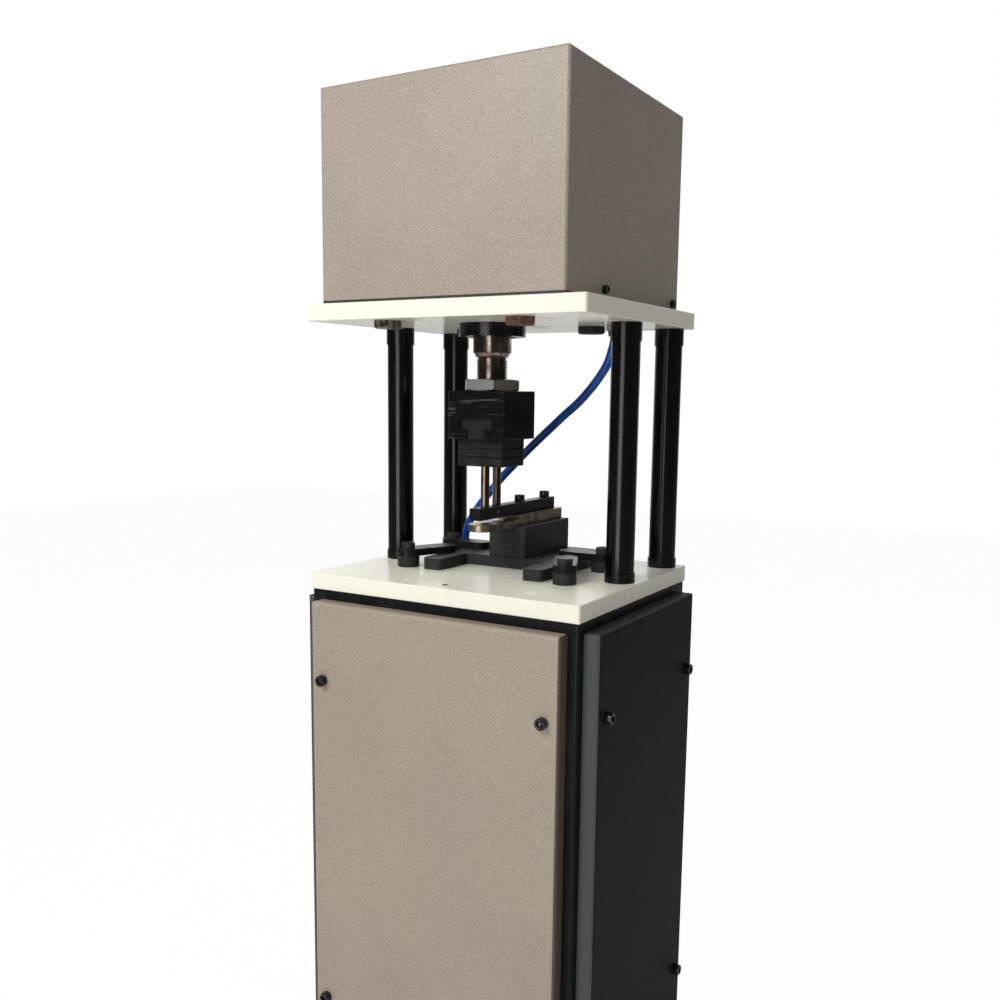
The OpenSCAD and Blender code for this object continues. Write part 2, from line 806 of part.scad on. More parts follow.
// Angle brackets that carry the hood's side screws
bracket_w = 22;
bracket_l = 26;
bracket_h = 20;
bracket_t = 3;
bracket_nut_h = 4;
bracket_nut_af = 8;
bracket_screw_in = 8;
bracket_screw_head_h = 3.5;
hood_z = crown_top_z + hood_seal_t;
hood_h = rear_cap_top_z + tie_nut_h + tie_end + hood_top_room + hood_wall - hood_z;
hood_screw_y = hood_d / 2 - hood_screw_inset;
hood_screw_z = hood_z + hood_screw_rise;

// Puts a bracket's local frame inside the hood's wall, with X pointing outwards
module at_brackets() {
    for (x = SIDES, y = [hood_screw_y - hood_screw_pitch, hood_screw_y])
        translate([x * (hood_w / 2 - hood_wall), y, 0]) rotate([0, 0, 90 - x * 90]) children();
}

module hood() {
    color("#8d8377") difference() {
        translate([0, 0, hood_z]) bent_shell(hood_w, hood_d, hood_h, hood_r, hood_wall);
        at_brackets() translate([-overrun, 0, hood_screw_z]) rotate([0, 90, 0])
            cylinder(d = hood_screw_d + 2 * screw_gap, h = hood_wall + 2 * overrun);
    }
}

// Width of the seal's lip on the crown
seal_w = 2;

module hood_seal() {
    color("#151515") translate([0, 0, crown_top_z]) linear_extrude(hood_seal_t) difference() {
        round_rect(hood_w, hood_d, hood_r);
        round_rect(hood_w - 2 * seal_w, hood_d - 2 * seal_w, hood_r - seal_w);
    }
}

module hood_brackets() {
    color("#8e9092") at_brackets() {
        difference() {
            union() {
                translate([-bracket_l, -bracket_w / 2, crown_top_z]) cube([bracket_l, bracket_w, bracket_t]);
                translate([-bracket_t, -bracket_w / 2, crown_top_z]) cube([bracket_t, bracket_w, bracket_h]);
            }
            translate([-bracket_t - overrun, 0, hood_screw_z]) rotate([0, 90, 0])
                cylinder(d = hood_screw_d + 2 * screw_gap, h = bracket_t + 2 * overrun);
            translate([-bracket_l / 2, 0, crown_top_z - overrun])
                cylinder(d = hood_screw_d + 2 * screw_gap, h = bracket_t + 2 * overrun);
        }
    }
}

module hood_screws() {
    color("#1b1b1c") at_brackets() {
        translate([hood_wall, 0, hood_screw_z]) rotate([0, 90, 0])
            cap_screw(hood_screw_d, hood_wall + bracket_t, hood_screw_head_d, hood_screw_head_h);
        translate([-bracket_l / 2, 0, crown_top_z + bracket_t])
            cap_screw(hood_screw_d, bracket_t + bracket_screw_in, bracket_nut_af, bracket_screw_head_h);
    }
}

// Holes for the tie rods and the mounting bolts in the end caps, with the web between them
bolt_web = 8;
tie_in = (cap_h - bolt_web) / 2;
mount_bolt_in = tie_in;
// Height of an air port in its end cap, and how deep its fitting enters
port_rise = cap_h / 2;
port_in = 9;
upper_fitting_x = cap_w / 2 + upper_fitting_out;

// Puts a piece on an end cap's air port, with Z pointing into the cap
module at_port(x, z) {
    translate([x * cap_w / 2, upper_fitting_y, z + port_rise]) rotate([0, -x * 90, 0]) children();
}

// Hole of an air port in an end cap
module port_hole(x, z) {
    at_port(x, z) translate([0, 0, -overrun])
        cylinder(d = stem_d + 2 * screw_gap, h = port_in + 2 * overrun);
}

module front_cap() {
    color("#9b9d9f") difference() {
        translate([0, ram_y, crown_top_z]) round_block(cap_w, cap_w, cap_h, cap_r);
        translate([0, ram_y, crown_top_z - overrun])
            cylinder(d = rod_d + 2 * slide_gap, h = cap_h + 2 * overrun);
        translate([0, 0, crown_top_z - overrun]) at_ties()
            cylinder(d = mount_bolt_d + 2 * screw_gap, h = mount_bolt_in + 2 * overrun);
        translate([0, 0, front_cap_top_z - tie_in - overrun]) at_ties()
            cylinder(d = tie_rod_d + 2 * screw_gap, h = tie_in + 2 * overrun);
        port_hole(-1, crown_top_z);
    }
}

module cylinder_barrel() {
    color("#b4b6b8") translate([0, ram_y, front_cap_top_z]) difference() {
        cylinder(d = bore_d + 2 * barrel_wall, h = barrel_h, $fn = 96);
        translate([0, 0, -overrun]) cylinder(d = bore_d, h = barrel_h + 2 * overrun, $fn = 96);
    }
}

module rear_cap() {
    color("#9b9d9f") difference() {
        translate([0, ram_y, rear_cap_z]) round_block(cap_w, cap_w, cap_h, cap_r);
        translate([0, 0, rear_cap_z - overrun]) at_ties()
            cylinder(d = tie_rod_d + 2 * screw_gap, h = cap_h + 2 * overrun);
        port_hole(1, rear_cap_z);
    }
}

module tie_rods() {
    rod_z = front_cap_top_z - tie_in;
    color("#a9abad") at_ties() {
        translate([0, 0, rod_z])
            cylinder(d = tie_rod_d, h = rear_cap_top_z + tie_nut_h + tie_end - rod_z);
        translate([0, 0, rear_cap_top_z]) difference() {
            turned_hex(tie_nut_af, tie_nut_h);
            translate([0, 0, -overrun])
                cylinder(d = tie_rod_d + 2 * press_gap, h = tie_nut_h + 2 * overrun);
        }
    }
}

module cylinder_bolts() {
    color("#8a7d70") translate([0, 0, crown_z]) at_ties() {
        cylinder(d = mount_bolt_d, h = plate_t + mount_bolt_in);
        rotate([180, 0, 0]) turned_hex(mount_bolt_af, mount_bolt_head_h);
    }
}

// Recess of the wiper ring in the gland's lower end
wiper_wall = 6;
wiper_d = rod_d + 2 * wiper_wall;
wiper_h = 6;
// Depth to which the wiper's lip stands back from the gland's face
wiper_back = 1;

module rod_gland() {
    color("#0f0f10") translate([0, ram_y, gland_z]) difference() {
        cylinder(d = gland_d, h = gland_h + plate_t);
        translate([0, 0, -overrun])
            cylinder(d = rod_d + 2 * slide_gap, h = gland_h + plate_t + 2 * overrun);
        translate([0, 0, -overrun]) cylinder(d = wiper_d, h = wiper_h + overrun);
    }
}

module rod_wiper() {
    color("#2d2d2d") translate([0, ram_y, gland_z + wiper_back]) difference() {
        cylinder(d = wiper_d - 2 * press_gap, h = wiper_h - wiper_back);
        translate([0, 0, -overrun])
            cylinder(d = rod_d + 2 * slide_gap, h = wiper_h + 2 * overrun);
    }
}

// Hex bodies of the hose fittings and the elbow above the crown
fitting_af = 17;
fitting_hex_h = 7;
collet_d = 14;
elbow_d = 16;
elbow_h = 16;
// Length of the open end of the elbow that waits for the return line
elbow_stub_l = 12;

// Push-in fitting: a hex on the plate, a collet beyond it and a stem through the plate
module hose_fitting(h, stem_l) {
    hex(fitting_af, fitting_hex_h);
    cylinder(d = collet_d, h = h);
    translate([0, 0, -stem_l]) cylinder(d = stem_d, h = stem_l);
}

module upper_hose_fitting() {
    color("#4b4f55") translate([upper_fitting_x, upper_fitting_y, crown_z]) rotate([180, 0, 0])
        hose_fitting(upper_fitting_h, plate_t);
}

module cylinder_fittings() {
    port_x = upper_fitting_x - cap_w / 2;
    color("#4b4f55") {
        translate([upper_fitting_x, upper_fitting_y, crown_top_z]) {
            cylinder(d = stem_d, h = rear_cap_z - crown_top_z + port_rise);
            cylinder(d = elbow_d, h = elbow_h);
            translate([0, 0, rear_cap_z - crown_top_z + port_rise - elbow_h / 2])
                cylinder(d = elbow_d, h = elbow_h);
        }
        at_port(1, rear_cap_z) translate([0, 0, -port_x]) cylinder(d = stem_d, h = port_x + port_in);
        at_port(-1, crown_top_z) translate([0, 0, -port_x]) {
            cylinder(d = stem_d, h = port_x + port_in);
            rotate([0, 90, 0]) translate([0, 0, -elbow_h / 2]) cylinder(d = elbow_d, h = elbow_h);
            rotate([0, 90, 0]) cylinder(d = stem_d, h = elbow_h / 2 + elbow_stub_l);
        }
    }
}

// Depth of the lower fitting's stem inside the valve
valve_port_in = 10;

module lower_hose_fitting() {
    color("#2b2d30") translate([-lower_fitting_x, lower_fitting_y, table_z])
        hose_fitting(lower_fitting_h, plate_t + valve_port_in);
}

// Air valve under the table
valve_w = 46;
valve_d = 30;
valve_h = 60;
lower_fitting_x = frame_w / 2 - rail_d - valve_side_gap - valve_w / 2;
lower_fitting_y = frame_d / 2 - post_w - valve_rear_gap - valve_d / 2;
riser_back = round(lower_fitting_y - fitting_af / 2 / cos(30) - riser_back_gap - clamp_d / 2);
valve_screw_x = 17;
valve_screw_head_d = 8.5;
valve_screw_head_h = 5;
coil_d = 30;
coil_l = 36;
silencer_d = 11;
silencer_l = 24;
silencer_x = 7;

module at_valve() {
    translate([-lower_fitting_x, lower_fitting_y, table_under_z]) children();
}

module at_valve_screws() {
    at_valve() for (x = SIDES) translate([x * valve_screw_x, 0, 0]) children();
}

module valve_body() {
    color("#c7c9cb") {
        difference() {
            at_valve() translate([-valve_w / 2, -valve_d / 2, -valve_h]) cube([valve_w, valve_d, valve_h]);
            at_valve() translate([0, 0, -valve_port_in - overrun])
                cylinder(d = stem_d + 2 * screw_gap, h = valve_port_in + 2 * overrun);
            at_valve_screws() translate([0, 0, -valve_h - overrun])
                cylinder(d = valve_screw_d + 2 * screw_gap, h = valve_h + 2 * overrun);
        }
        at_valve_screws() {
            translate([0, 0, -valve_h]) cylinder(d = valve_screw_d, h = valve_h + valve_screw_in);
            translate([0, 0, -valve_h - valve_screw_head_h])
                cylinder(d = valve_screw_head_d, h = valve_screw_head_h);
        }
    }
}

module valve_coil() {
    connector_share = 0.6;
    color("#1d1e20") at_valve() translate([0, -valve_d / 2, -valve_h / 2]) rotate([90, 0, 0]) {
        cylinder(d = coil_d, h = coil_l);
        translate([-coil_d * connector_share / 2, -coil_d / 2 - coil_d * connector_share / 2, 0])
            cube([coil_d * connector_share, coil_d * connector_share, coil_l * connector_share]);
    }
}

module valve_silencers() {
    color("#b39b52") at_valve() for (x = SIDES)
        translate([x * silencer_x, 0, -valve_h - silencer_l]) cylinder(d = silencer_d, h = silencer_l);
}

// Round points of the hose's middle line, measured from the middle of the table's upper face
HOSE = [
    [128, 20, 276], [128, 20, 268], [124.5, 22.5, 258], [118, 25, 243], [108, 28, 229.5],
    [93, 32, 213.5], [76, 37, 198.5], [56, 42, 184], [36, 48, 169], [16, 54, 154], [-4, 60, 138.5],
    [-24, 66, 122], [-44, 71, 105], [-64, 76, 86], [-82, 80, 67.5], [-95, 83, 52], [-104, 85, 39],
    [-109, 86, 27], [-110, 86, 20], [-110, 86, 12]
];
HOSE_SIDES = 10;
// Rings of the swept tube between two neighbouring points
HOSE_STEPS = 2;

function unit(v) = v / norm(v);
// Point on a smooth curve through p1 and p2, with p0 and p3 beyond them
function spline(p0, p1, p2, p3, t) =
    0.5 * (2 * p1 + (p2 - p0) * t + (2 * p0 - 5 * p1 + 4 * p2 - p3) * t * t
    + (3 * p1 - p0 - 3 * p2 + p3) * t * t * t);
function smooth(p, n) = let (m = len(p) - 1) concat(
    [for (i = [0:m - 1], k = [0:n - 1])
        spline(i == 0 ? 2 * p[0] - p[1] : p[i - 1], p[i], p[i + 1],
            i + 2 > m ? 2 * p[m] - p[m - 1] : p[i + 2], k / n)],
    [p[m]]);
// Direction of the curve at one of its points
function heading(p, i) =
    i == 0 || i == len(p) - 1 ? [0, 0, -1] : unit(p[i + 1] - p[i - 1]);
function ring(c, t, d) =
    let (a = unit(cross(t, [0, 1, 0])), b = cross(t, a))
    [for (k = [0:HOSE_SIDES - 1]) let (u = 360 * k / HOSE_SIDES) c + d / 2 * (a * cos(u) + b * sin(u))];

module swept_tube(line, d) {
    n = len(line);
    points = [for (i = [0:n - 1]) each ring(line[i], heading(line, i), d)];
    sides = [for (i = [0:n - 2], k = [0:HOSE_SIDES - 1]) let (
        a = i * HOSE_SIDES + k, b = i * HOSE_SIDES + (k + 1) % HOSE_SIDES) each [
            [a, b, b + HOSE_SIDES], [a, b + HOSE_SIDES, a + HOSE_SIDES]]];
    ends = [[for (k = [0:HOSE_SIDES - 1]) HOSE_SIDES - 1 - k],
        [for (k = [0:HOSE_SIDES - 1]) (n - 1) * HOSE_SIDES + k]];
    polyhedron(points = points, faces = concat(sides, ends), convexity = 6);
}

module air_hose() {
    color("#1f6fc4") translate([0, 0, table_z]) swept_tube(smooth(HOSE, HOSE_STEPS), hose_d);
}

// How far the gap's inner edge stands in front of the die block
base_gap_step = 1;

// Arm between the gap and the outer edge, from the gap's inner edge forwards
module base_arm() {
    arm_w = (base_w - base_gap_w) / 2;
    arm_l = base_front + block_front - base_gap_step + base_gap_r;
    translate([base_gap_w / 2, -base_front + base_r]) square([arm_w, arm_l - base_r]);
    translate([base_gap_w / 2 + base_arm_r, -base_front]) square([arm_w - base_arm_r - base_r, base_r]);
    translate([base_gap_w / 2, -base_front + base_arm_r]) square([arm_w - base_r, base_r]);
    translate([base_gap_w / 2 + base_arm_r, -base_front + base_arm_r]) circle(base_arm_r);
    translate([base_w / 2 - base_r, -base_front + base_r]) circle(base_r);
}

module base_outline() {
    gap_y = block_front - base_gap_step;
    gap_r_y = gap_y - base_gap_r;
    plate_l = base_back - gap_y;
    translate([-base_w / 2, gap_y]) square([base_w, plate_l - base_r]);
    translate([-base_w / 2 + base_r, gap_y]) square([base_w - 2 * base_r, plate_l]);
    for (x = SIDES) translate([x * (base_w / 2 - base_r), base_back - base_r]) circle(base_r);
    for (side = [0, 1]) mirror([side, 0]) {
        base_arm();
        difference() {
            translate([base_gap_w / 2 - base_gap_r, gap_r_y]) square(base_gap_r);
            translate([base_gap_w / 2 - base_gap_r, gap_r_y]) circle(base_gap_r);
        }
    }
}

// Screws from below that hold the die block on the base plate
block_screw_d = 8;
block_screw_head_d = 13;
block_screw_head_h = 8;
block_screw_in = 16;
block_screw_x = 14;
block_screw_inset = 20;

module at_block_screws() {
    for (x = SIDES, y = [block_front + block_screw_inset, block_back - block_screw_inset])
        translate([x * block_screw_x, y, table_z]) children();
}

module base_plate() {
    color("#242527") difference() {
        translate([0, 0, table_z]) linear_extrude(base_t) base_outline();
        at_block_screws() {
            translate([0, 0, -overrun])
                cylinder(d = block_screw_d + 2 * screw_gap, h = base_t + 2 * overrun);
            translate([0, 0, -overrun])
                cylinder(d = block_screw_head_d + 2 * screw_gap, h = block_screw_head_h + overrun);
        }
    }
}

module die_block_screws() {
    color("#1b1b1c") at_block_screws() translate([0, 0, block_screw_head_h]) rotate([180, 0, 0])
        cap_screw(block_screw_d, base_t - block_screw_head_h + block_screw_in, block_screw_head_d,
            block_screw_head_h);
}

// Thread of a stripper screw inside the die block
bar_screw_d = 8;
bar_screw_head_d = 12.5;
bar_screw_head_h = 8;
bar_screw_in = 18;

module at_bar_screws() {
    for (y = [bar_screw_front, bar_screw_back]) translate([0, y, 0]) children();
}

module die_block() {
    color("#2a2a2c") difference() {
        translate([0, (block_front + block_back) / 2, block_z])
            bevelled_block(block_w, block_back - block_front, block_h, edge_bevel);
        at_block_screws() translate([0, 0, base_t - overrun])
            cylinder(d = block_screw_d + 2 * screw_gap, h = block_screw_in + 2 * overrun);
        at_bar_screws() translate([0, 0, horn_z - bar_screw_in - overrun])
            cylinder(d = bar_screw_d + 2 * screw_gap, h = bar_screw_in + 2 * overrun);
    }
}

// Radius of the die plate's rear corners
horn_r = 6;

// Outline of the die plate from a given place to its rear end
module horn_outline(y) {
    translate([-horn_w / 2, y]) square([horn_w, horn_back - horn_r - y]);
    translate([-horn_w / 2 + horn_r, y]) square([horn_w - 2 * horn_r, horn_back - y]);
    for (x = SIDES) translate([x * (horn_w / 2 - horn_r), horn_back - horn_r]) circle(horn_r);
}

module die_plate() {
    color("#7d6a57") difference() {
        translate([0, 0, horn_z]) {
            linear_extrude(horn_t) {
                translate([0, -horn_front + horn_w / 2]) circle(horn_w / 2);
                horn_outline(-horn_front + horn_w / 2);
            }
            linear_extrude(horn_t + slot_h) horn_outline(slot_back);
        }
        at_punches() translate([0, 0, horn_z - overrun])
            cylinder(d = bush_d + 2 * press_gap, h = horn_t + 2 * overrun);
        at_bar_screws() translate([0, 0, horn_z - overrun])
            cylinder(d = bar_screw_d + 2 * screw_gap, h = horn_t + slot_h + 2 * overrun);
    }
}

module die_bushes() {
    color("#8f8271") at_punches() translate([0, 0, horn_z]) difference() {
        cylinder(d = bush_d, h = horn_t);
        translate([0, 0, -overrun]) cylinder(d = punch_d + 2 * slide_gap, h = horn_t + 2 * overrun);
    }
}

// Small side hole of the stripper bar's grub screw
grub_d = 4;
grub_in = 1.5;
grub_back = 5;

module stripper_bar() {
    color("#242426") difference() {
        translate([0, (bar_back - horn_front) / 2, bar_z])
            bevelled_block(bar_w, horn_front + bar_back, bar_h, edge_bevel);
        at_punches() translate([0, 0, bar_z - overrun])
            cylinder(d = punch_d + 2 * slide_gap, h = bar_h + 2 * overrun);
        at_bar_screws() translate([0, 0, bar_z - overrun])
            cylinder(d = bar_screw_d + 2 * screw_gap, h = bar_h + 2 * overrun);
        translate([bar_w / 2 - grub_in, ram_y + grub_back, (bar_z + bar_top_z) / 2]) rotate([0, 90, 0])
            cylinder(d = grub_d, h = grub_in + overrun);
    }
}

module stripper_screws() {
    color("#1b1b1c") at_bar_screws() translate([0, 0, bar_top_z])
        cap_screw(bar_screw_d, bar_top_z - horn_z + bar_screw_in, bar_screw_head_d, bar_screw_head_h);
}

// Bevel of a riser's upper edge
riser_bevel = 0.8;

module clamp_risers() {
    color("#3b3a3a") translate([0, 0, table_z]) at_risers() difference() {
        bevelled_disc(clamp_d, base_t, riser_bevel);
        translate([0, 0, -overrun])
            cylinder(d = clamp_bolt_d + 2 * screw_gap, h = base_t + 2 * overrun);
    }
}

// Flat bar with round ends, from a riser inwards
module strap(l) {
    difference() {
        linear_extrude(strap_t) {
            circle(d = clamp_d);
            translate([0, -clamp_d / 2]) square([l, clamp_d]);
            translate([l, 0]) circle(d = clamp_d);
        }
        translate([0, 0, -overrun])
            cylinder(d = clamp_bolt_d + 2 * screw_gap, h = strap_t + 2 * overrun);
    }
}

module clamp_straps() {
    color("#2c2c2e") for (side = [0, 1]) mirror([side, 0, 0]) translate([-riser_x, 0, block_z]) {
        translate([0, -riser_front, 0]) rotate([0, 0, front_strap_turn]) strap(front_strap_l);
        translate([0, riser_back, 0]) rotate([0, 0, -rear_strap_turn]) strap(rear_strap_l);
    }
}

// Three clamp bolts have socket heads, the one at the front right has a hex head
module clamp_bolts() {
    bolt_l = clamp_bolt_in + base_t + strap_t;
    color("#3d3b3a") translate([0, 0, block_z + strap_t]) {
        for (place = [[-riser_x, -riser_front], [-riser_x, riser_back], [riser_x, riser_back]])
            translate(place) cap_screw(clamp_bolt_d, bolt_l, clamp_cap_d, clamp_bolt_head_h);
        translate([riser_x, -riser_front]) {
            turned_hex(clamp_bolt_af, clamp_bolt_head_h);
            translate([0, 0, -bolt_l]) cylinder(d = clamp_bolt_d, h = bolt_l);
        }
    }
}

// Spigot of the rod inside the piston and the nut on it
spigot_d = 30;
piston_nut_af = 46;
piston_nut_h = 18;
piston_nut_room = 60;
// Grooves of the piston's seals
groove_in = 3;
groove_h = 7;
groove_inset = 9;
// Height of the piston's floor under its nut
piston_floor_h = piston_h - piston_nut_h - groove_h;

module piston() {
    color("#8f9193") at_ram() translate([0, 0, piston_z]) difference() {
        cylinder(d = bore_d - 2 * slide_gap, h = piston_h, $fn = 96);
        translate([0, 0, -overrun]) cylinder(d = spigot_d + 2 * press_gap, h = piston_h + 2 * overrun);
        translate([0, 0, piston_floor_h]) cylinder(d = piston_nut_room, h = piston_h);
        for (z = [groove_inset, piston_h - groove_inset - groove_h]) translate([0, 0, z]) difference() {
            cylinder(d = bore_d + overrun, h = groove_h, $fn = 96);
            translate([0, 0, -overrun])
                cylinder(d = bore_d - 2 * groove_in, h = groove_h + 2 * overrun, $fn = 96);
        }
    }
}

module piston_nut() {
    color("#a9abad") at_ram() translate([0, 0, piston_z + piston_floor_h]) difference() {
        turned_hex(piston_nut_af, piston_nut_h);
        translate([0, 0, -overrun])
            cylinder(d = spigot_d + 2 * press_gap, h = piston_nut_h + 2 * overrun);
    }
}

module piston_rod() {
    thread_z = jam_nut_z - rod_thread_in;
    color("#6e5f52") at_ram() {
        translate([0, 0, piston_z]) cylinder(d = spigot_d, h = piston_floor_h + piston_nut_h);
        difference() {
            translate([0, 0, flat_z]) cylinder(d = rod_d, h = piston_z - flat_z);
            for (turn = [0, 90], side = SIDES) rotate([0, 0, turn])
                translate([side * (rod_flat_af + rod_d) / 2, 0, flat_z + rod_flat_l / 2])
                    cube([rod_d, rod_d, rod_flat_l], center = true);
        }
        translate([0, 0, thread_top_z]) cylinder(d1 = rod_thread_d, d2 = rod_flat_af, h = rod_bevel_h);
        translate([0, 0, thread_z]) cylinder(d = rod_thread_d, h = thread_top_z - thread_z);
    }
}

module jam_nut() {
    nut_bevel_share = 0.06;
    color("#c9c9c4") at_ram() translate([0, 0, jam_nut_z]) rotate([0, 0, jam_nut_turn]) difference() {
        intersection() {
            turned_hex(jam_nut_af, jam_nut_h, nut_bevel_share);
            translate([0, 0, jam_nut_h]) rotate([180, 0, 0])
                turned_hex(jam_nut_af, jam_nut_h, nut_bevel_share);
        }
        translate([0, 0, -overrun])
            cylinder(d = rod_thread_d + 2 * press_gap, h = jam_nut_h + 2 * overrun);
    }
}

// Room of the tee shank in its slot, at each side and above
tee_gap = 0.2;

module punch_holder() {
    slot_l = holder_d + 2 * overrun;
    color("#1a1a1c") at_ram() translate([0, 0, holder_z]) difference() {
        bevelled_block(holder_w, holder_d, holder_h, edge_bevel);
        translate([-tee_neck_w / 2 - tee_gap, -slot_l / 2, -overrun])
            cube([tee_neck_w + 2 * tee_gap, slot_l, tee_neck_h + 2 * overrun]);
        translate([-tee_head_w / 2 - tee_gap, -slot_l / 2, tee_neck_h])
            cube([tee_head_w + 2 * tee_gap, slot_l, tee_head_h + tee_gap]);
        translate([0, 0, holder_h - rod_thread_in - overrun])
            cylinder(d = rod_thread_d + 2 * press_gap, h = rod_thread_in + 2 * overrun);
    }
}

// Screws of the tool: one pair into the shank, four at the plates' corners
tool_screw_d = 6;
tool_screw_head_d = 10;
tool_screw_head_h = 6;
shank_screw_x = 7;
shank_screw_in = 12;
plate_screw_inset = 7.5;
// How far the tee shank stands back from the holder's faces
shank_back = 2;

module at_shank_screws() {
    at_ram() for (x = SIDES) translate([x * shank_screw_x, 0, 0]) children();
}

module at_plate_screws() {
    at_ram() for (x = SIDES, y = SIDES)
        translate([x * (tool_w / 2 - plate_screw_inset), y * (tool_d / 2 - plate_screw_inset), 0])
            children();
}

module tool_shank() {
    shank_l = holder_d - 2 * shank_back;
    color("#3a3a3c") difference() {
        at_ram() translate([0, 0, holder_z]) {
            translate([-tee_neck_w / 2, -shank_l / 2, 0]) cube([tee_neck_w, shank_l, tee_neck_h]);
            translate([-tee_head_w / 2, -shank_l / 2, tee_neck_h]) cube([tee_head_w, shank_l, tee_head_h]);
        }
        at_shank_screws() translate([0, 0, holder_z - overrun])
            cylinder(d = tool_screw_d + 2 * screw_gap, h = shank_screw_in + 2 * overrun);
    }
}

module backing_plate() {
    color("#39393b") difference() {
        translate([0, ram_y, backing_z]) bevelled_plate(tool_w, tool_d, tool_t, tool_r, edge_bevel);
        at_shank_screws() translate([0, 0, backing_z - overrun]) {
            cylinder(d = tool_screw_d + 2 * screw_gap, h = tool_t + 2 * overrun);
            cylinder(d = tool_screw_head_d + 2 * screw_gap, h = tool_screw_head_h + overrun);
        }
        at_plate_screws() translate([0, 0, backing_z - overrun])
            cylinder(d = tool_screw_d + 2 * screw_gap, h = tool_t + 2 * overrun);
    }
}

module punch_plate() {
    color("#2f2f31") difference() {
        translate([0, ram_y, punch_plate_z]) bevelled_plate(tool_w, tool_d, tool_t, tool_r, edge_bevel);
        at_punches() {
            translate([0, 0, punch_plate_z - overrun])
                cylinder(d = punch_d + 2 * press_gap, h = tool_t + 2 * overrun);
            translate([0, 0, backing_z - punch_head_h])
                cylinder(d = punch_head_d + 2 * press_gap, h = punch_head_h + overrun);
        }
        at_plate_screws() translate([0, 0, punch_plate_z - overrun])
            cylinder(d = tool_screw_d + 2 * screw_gap, h = tool_t + 2 * overrun);
    }
}

module retaining_plate() {
    color("#2f2f31") difference() {
        translate([0, ram_y, retainer_z])
            bevelled_plate(tool_w + 2 * retainer_step, tool_d + 2 * retainer_step, tool_t, retainer_r,
                edge_bevel);
        at_punches() translate([0, 0, retainer_z - overrun])
            cylinder(d = punch_d + 2 * press_gap, h = tool_t + 2 * overrun);
        at_plate_screws() translate([0, 0, retainer_z - overrun]) {
            cylinder(d = tool_screw_d + 2 * screw_gap, h = tool_t + 2 * overrun);
            cylinder(d = tool_screw_head_d + 2 * screw_gap, h = tool_screw_head_h + overrun);
        }
    }
}

module punches() {
    color("#8a7460") at_punches() {
        translate([0, 0, punch_tip_z]) cylinder(d = punch_d, h = backing_z - punch_tip_z);
        translate([0, 0, backing_z - punch_head_h]) cylinder(d = punch_head_d, h = punch_head_h);
    }
}

module tool_screws() {
    color("#1b1b1c") {
        at_shank_screws() translate([0, 0, backing_z + tool_screw_head_h]) rotate([180, 0, 0])
            cap_screw(tool_screw_d, tool_t - tool_screw_head_h + shank_screw_in, tool_screw_head_d,
                tool_screw_head_h);
        at_plate_screws() translate([0, 0, retainer_z + tool_screw_head_h]) rotate([180, 0, 0])
            cap_screw(tool_screw_d, 3 * tool_t - tool_screw_head_h, tool_screw_head_d, tool_screw_head_h);
    }
}

rubber_feet();
foot_bolts();
corner_posts();
lower_rails();
upper_rails();
floor_pan();
service_plate();
air_inlet_fitting();
front_panel();
rear_panel();
left_panel();
right_panel();
panel_spacers();
panel_screws();
table_plate();
table_bolts();
crown_plate();
front_left_pillar();
front_right_pillar();
rear_left_pillar();
rear_right_pillar();
hood();
hood_seal();
hood_brackets();
hood_screws();
front_cap();
cylinder_barrel();
rear_cap();
tie_rods();
cylinder_bolts();
rod_gland();
rod_wiper();
cylinder_fittings();
upper_hose_fitting();
lower_hose_fitting();
air_hose();
valve_body();
valve_coil();
valve_silencers();
base_plate();
clamp_risers();
clamp_straps();
clamp_bolts();
die_block();
die_block_screws();
die_plate();
die_bushes();
stripper_bar();
stripper_screws();
piston();
piston_rod();
piston_nut();
jam_nut();
punch_holder();
tool_shank();
backing_plate();
punch_plate();
retaining_plate();
punches();
tool_screws();
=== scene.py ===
# %% [markdown]
# # Dressing an air-driven punching press
# The press is already modelled as exact solids: cabinet, table, pillars, crown, air cylinder, ram
# and tool. Here those solids get their real finishes, and the few pieces that a solid modeller
# leaves plain, such as threads, screw sockets and the air hose, are remade with their small forms.
# The frame is loaded first, because every new piece is placed by the boxes of the solids.

# %% Load the frame
import math
import bmesh
import bpy
from mathutils import Matrix, Vector


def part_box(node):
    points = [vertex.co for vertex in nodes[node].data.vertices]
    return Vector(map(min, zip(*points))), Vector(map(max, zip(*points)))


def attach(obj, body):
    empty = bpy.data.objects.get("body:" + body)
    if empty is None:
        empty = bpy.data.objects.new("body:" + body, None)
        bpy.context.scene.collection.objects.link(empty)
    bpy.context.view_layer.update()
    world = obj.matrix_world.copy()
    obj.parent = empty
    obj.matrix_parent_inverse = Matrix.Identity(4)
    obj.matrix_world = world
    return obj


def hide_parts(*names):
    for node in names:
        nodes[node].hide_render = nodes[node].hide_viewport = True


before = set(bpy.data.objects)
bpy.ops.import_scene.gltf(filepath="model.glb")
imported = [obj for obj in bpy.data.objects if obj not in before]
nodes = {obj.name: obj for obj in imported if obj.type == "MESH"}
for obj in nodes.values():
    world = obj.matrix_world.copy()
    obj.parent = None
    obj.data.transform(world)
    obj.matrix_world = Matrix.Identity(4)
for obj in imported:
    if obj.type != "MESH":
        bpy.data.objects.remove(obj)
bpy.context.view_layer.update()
MM = 0.001

# %% [markdown]
# The table's upper face is the level that the whole tool is set up from, so it gets a name of its
# own. A point given in millimetres from the middle of that face is turned into metres in the
# machine's frame.

# %% Reference level
TABLE_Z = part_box("table_plate")[1][2]


def at(x, y, z):
    """Point in metres from millimetres measured on the table's upper face."""
    return Vector((x * MM, y * MM, TABLE_Z + z * MM))


print("table level:", round(TABLE_Z, 4))

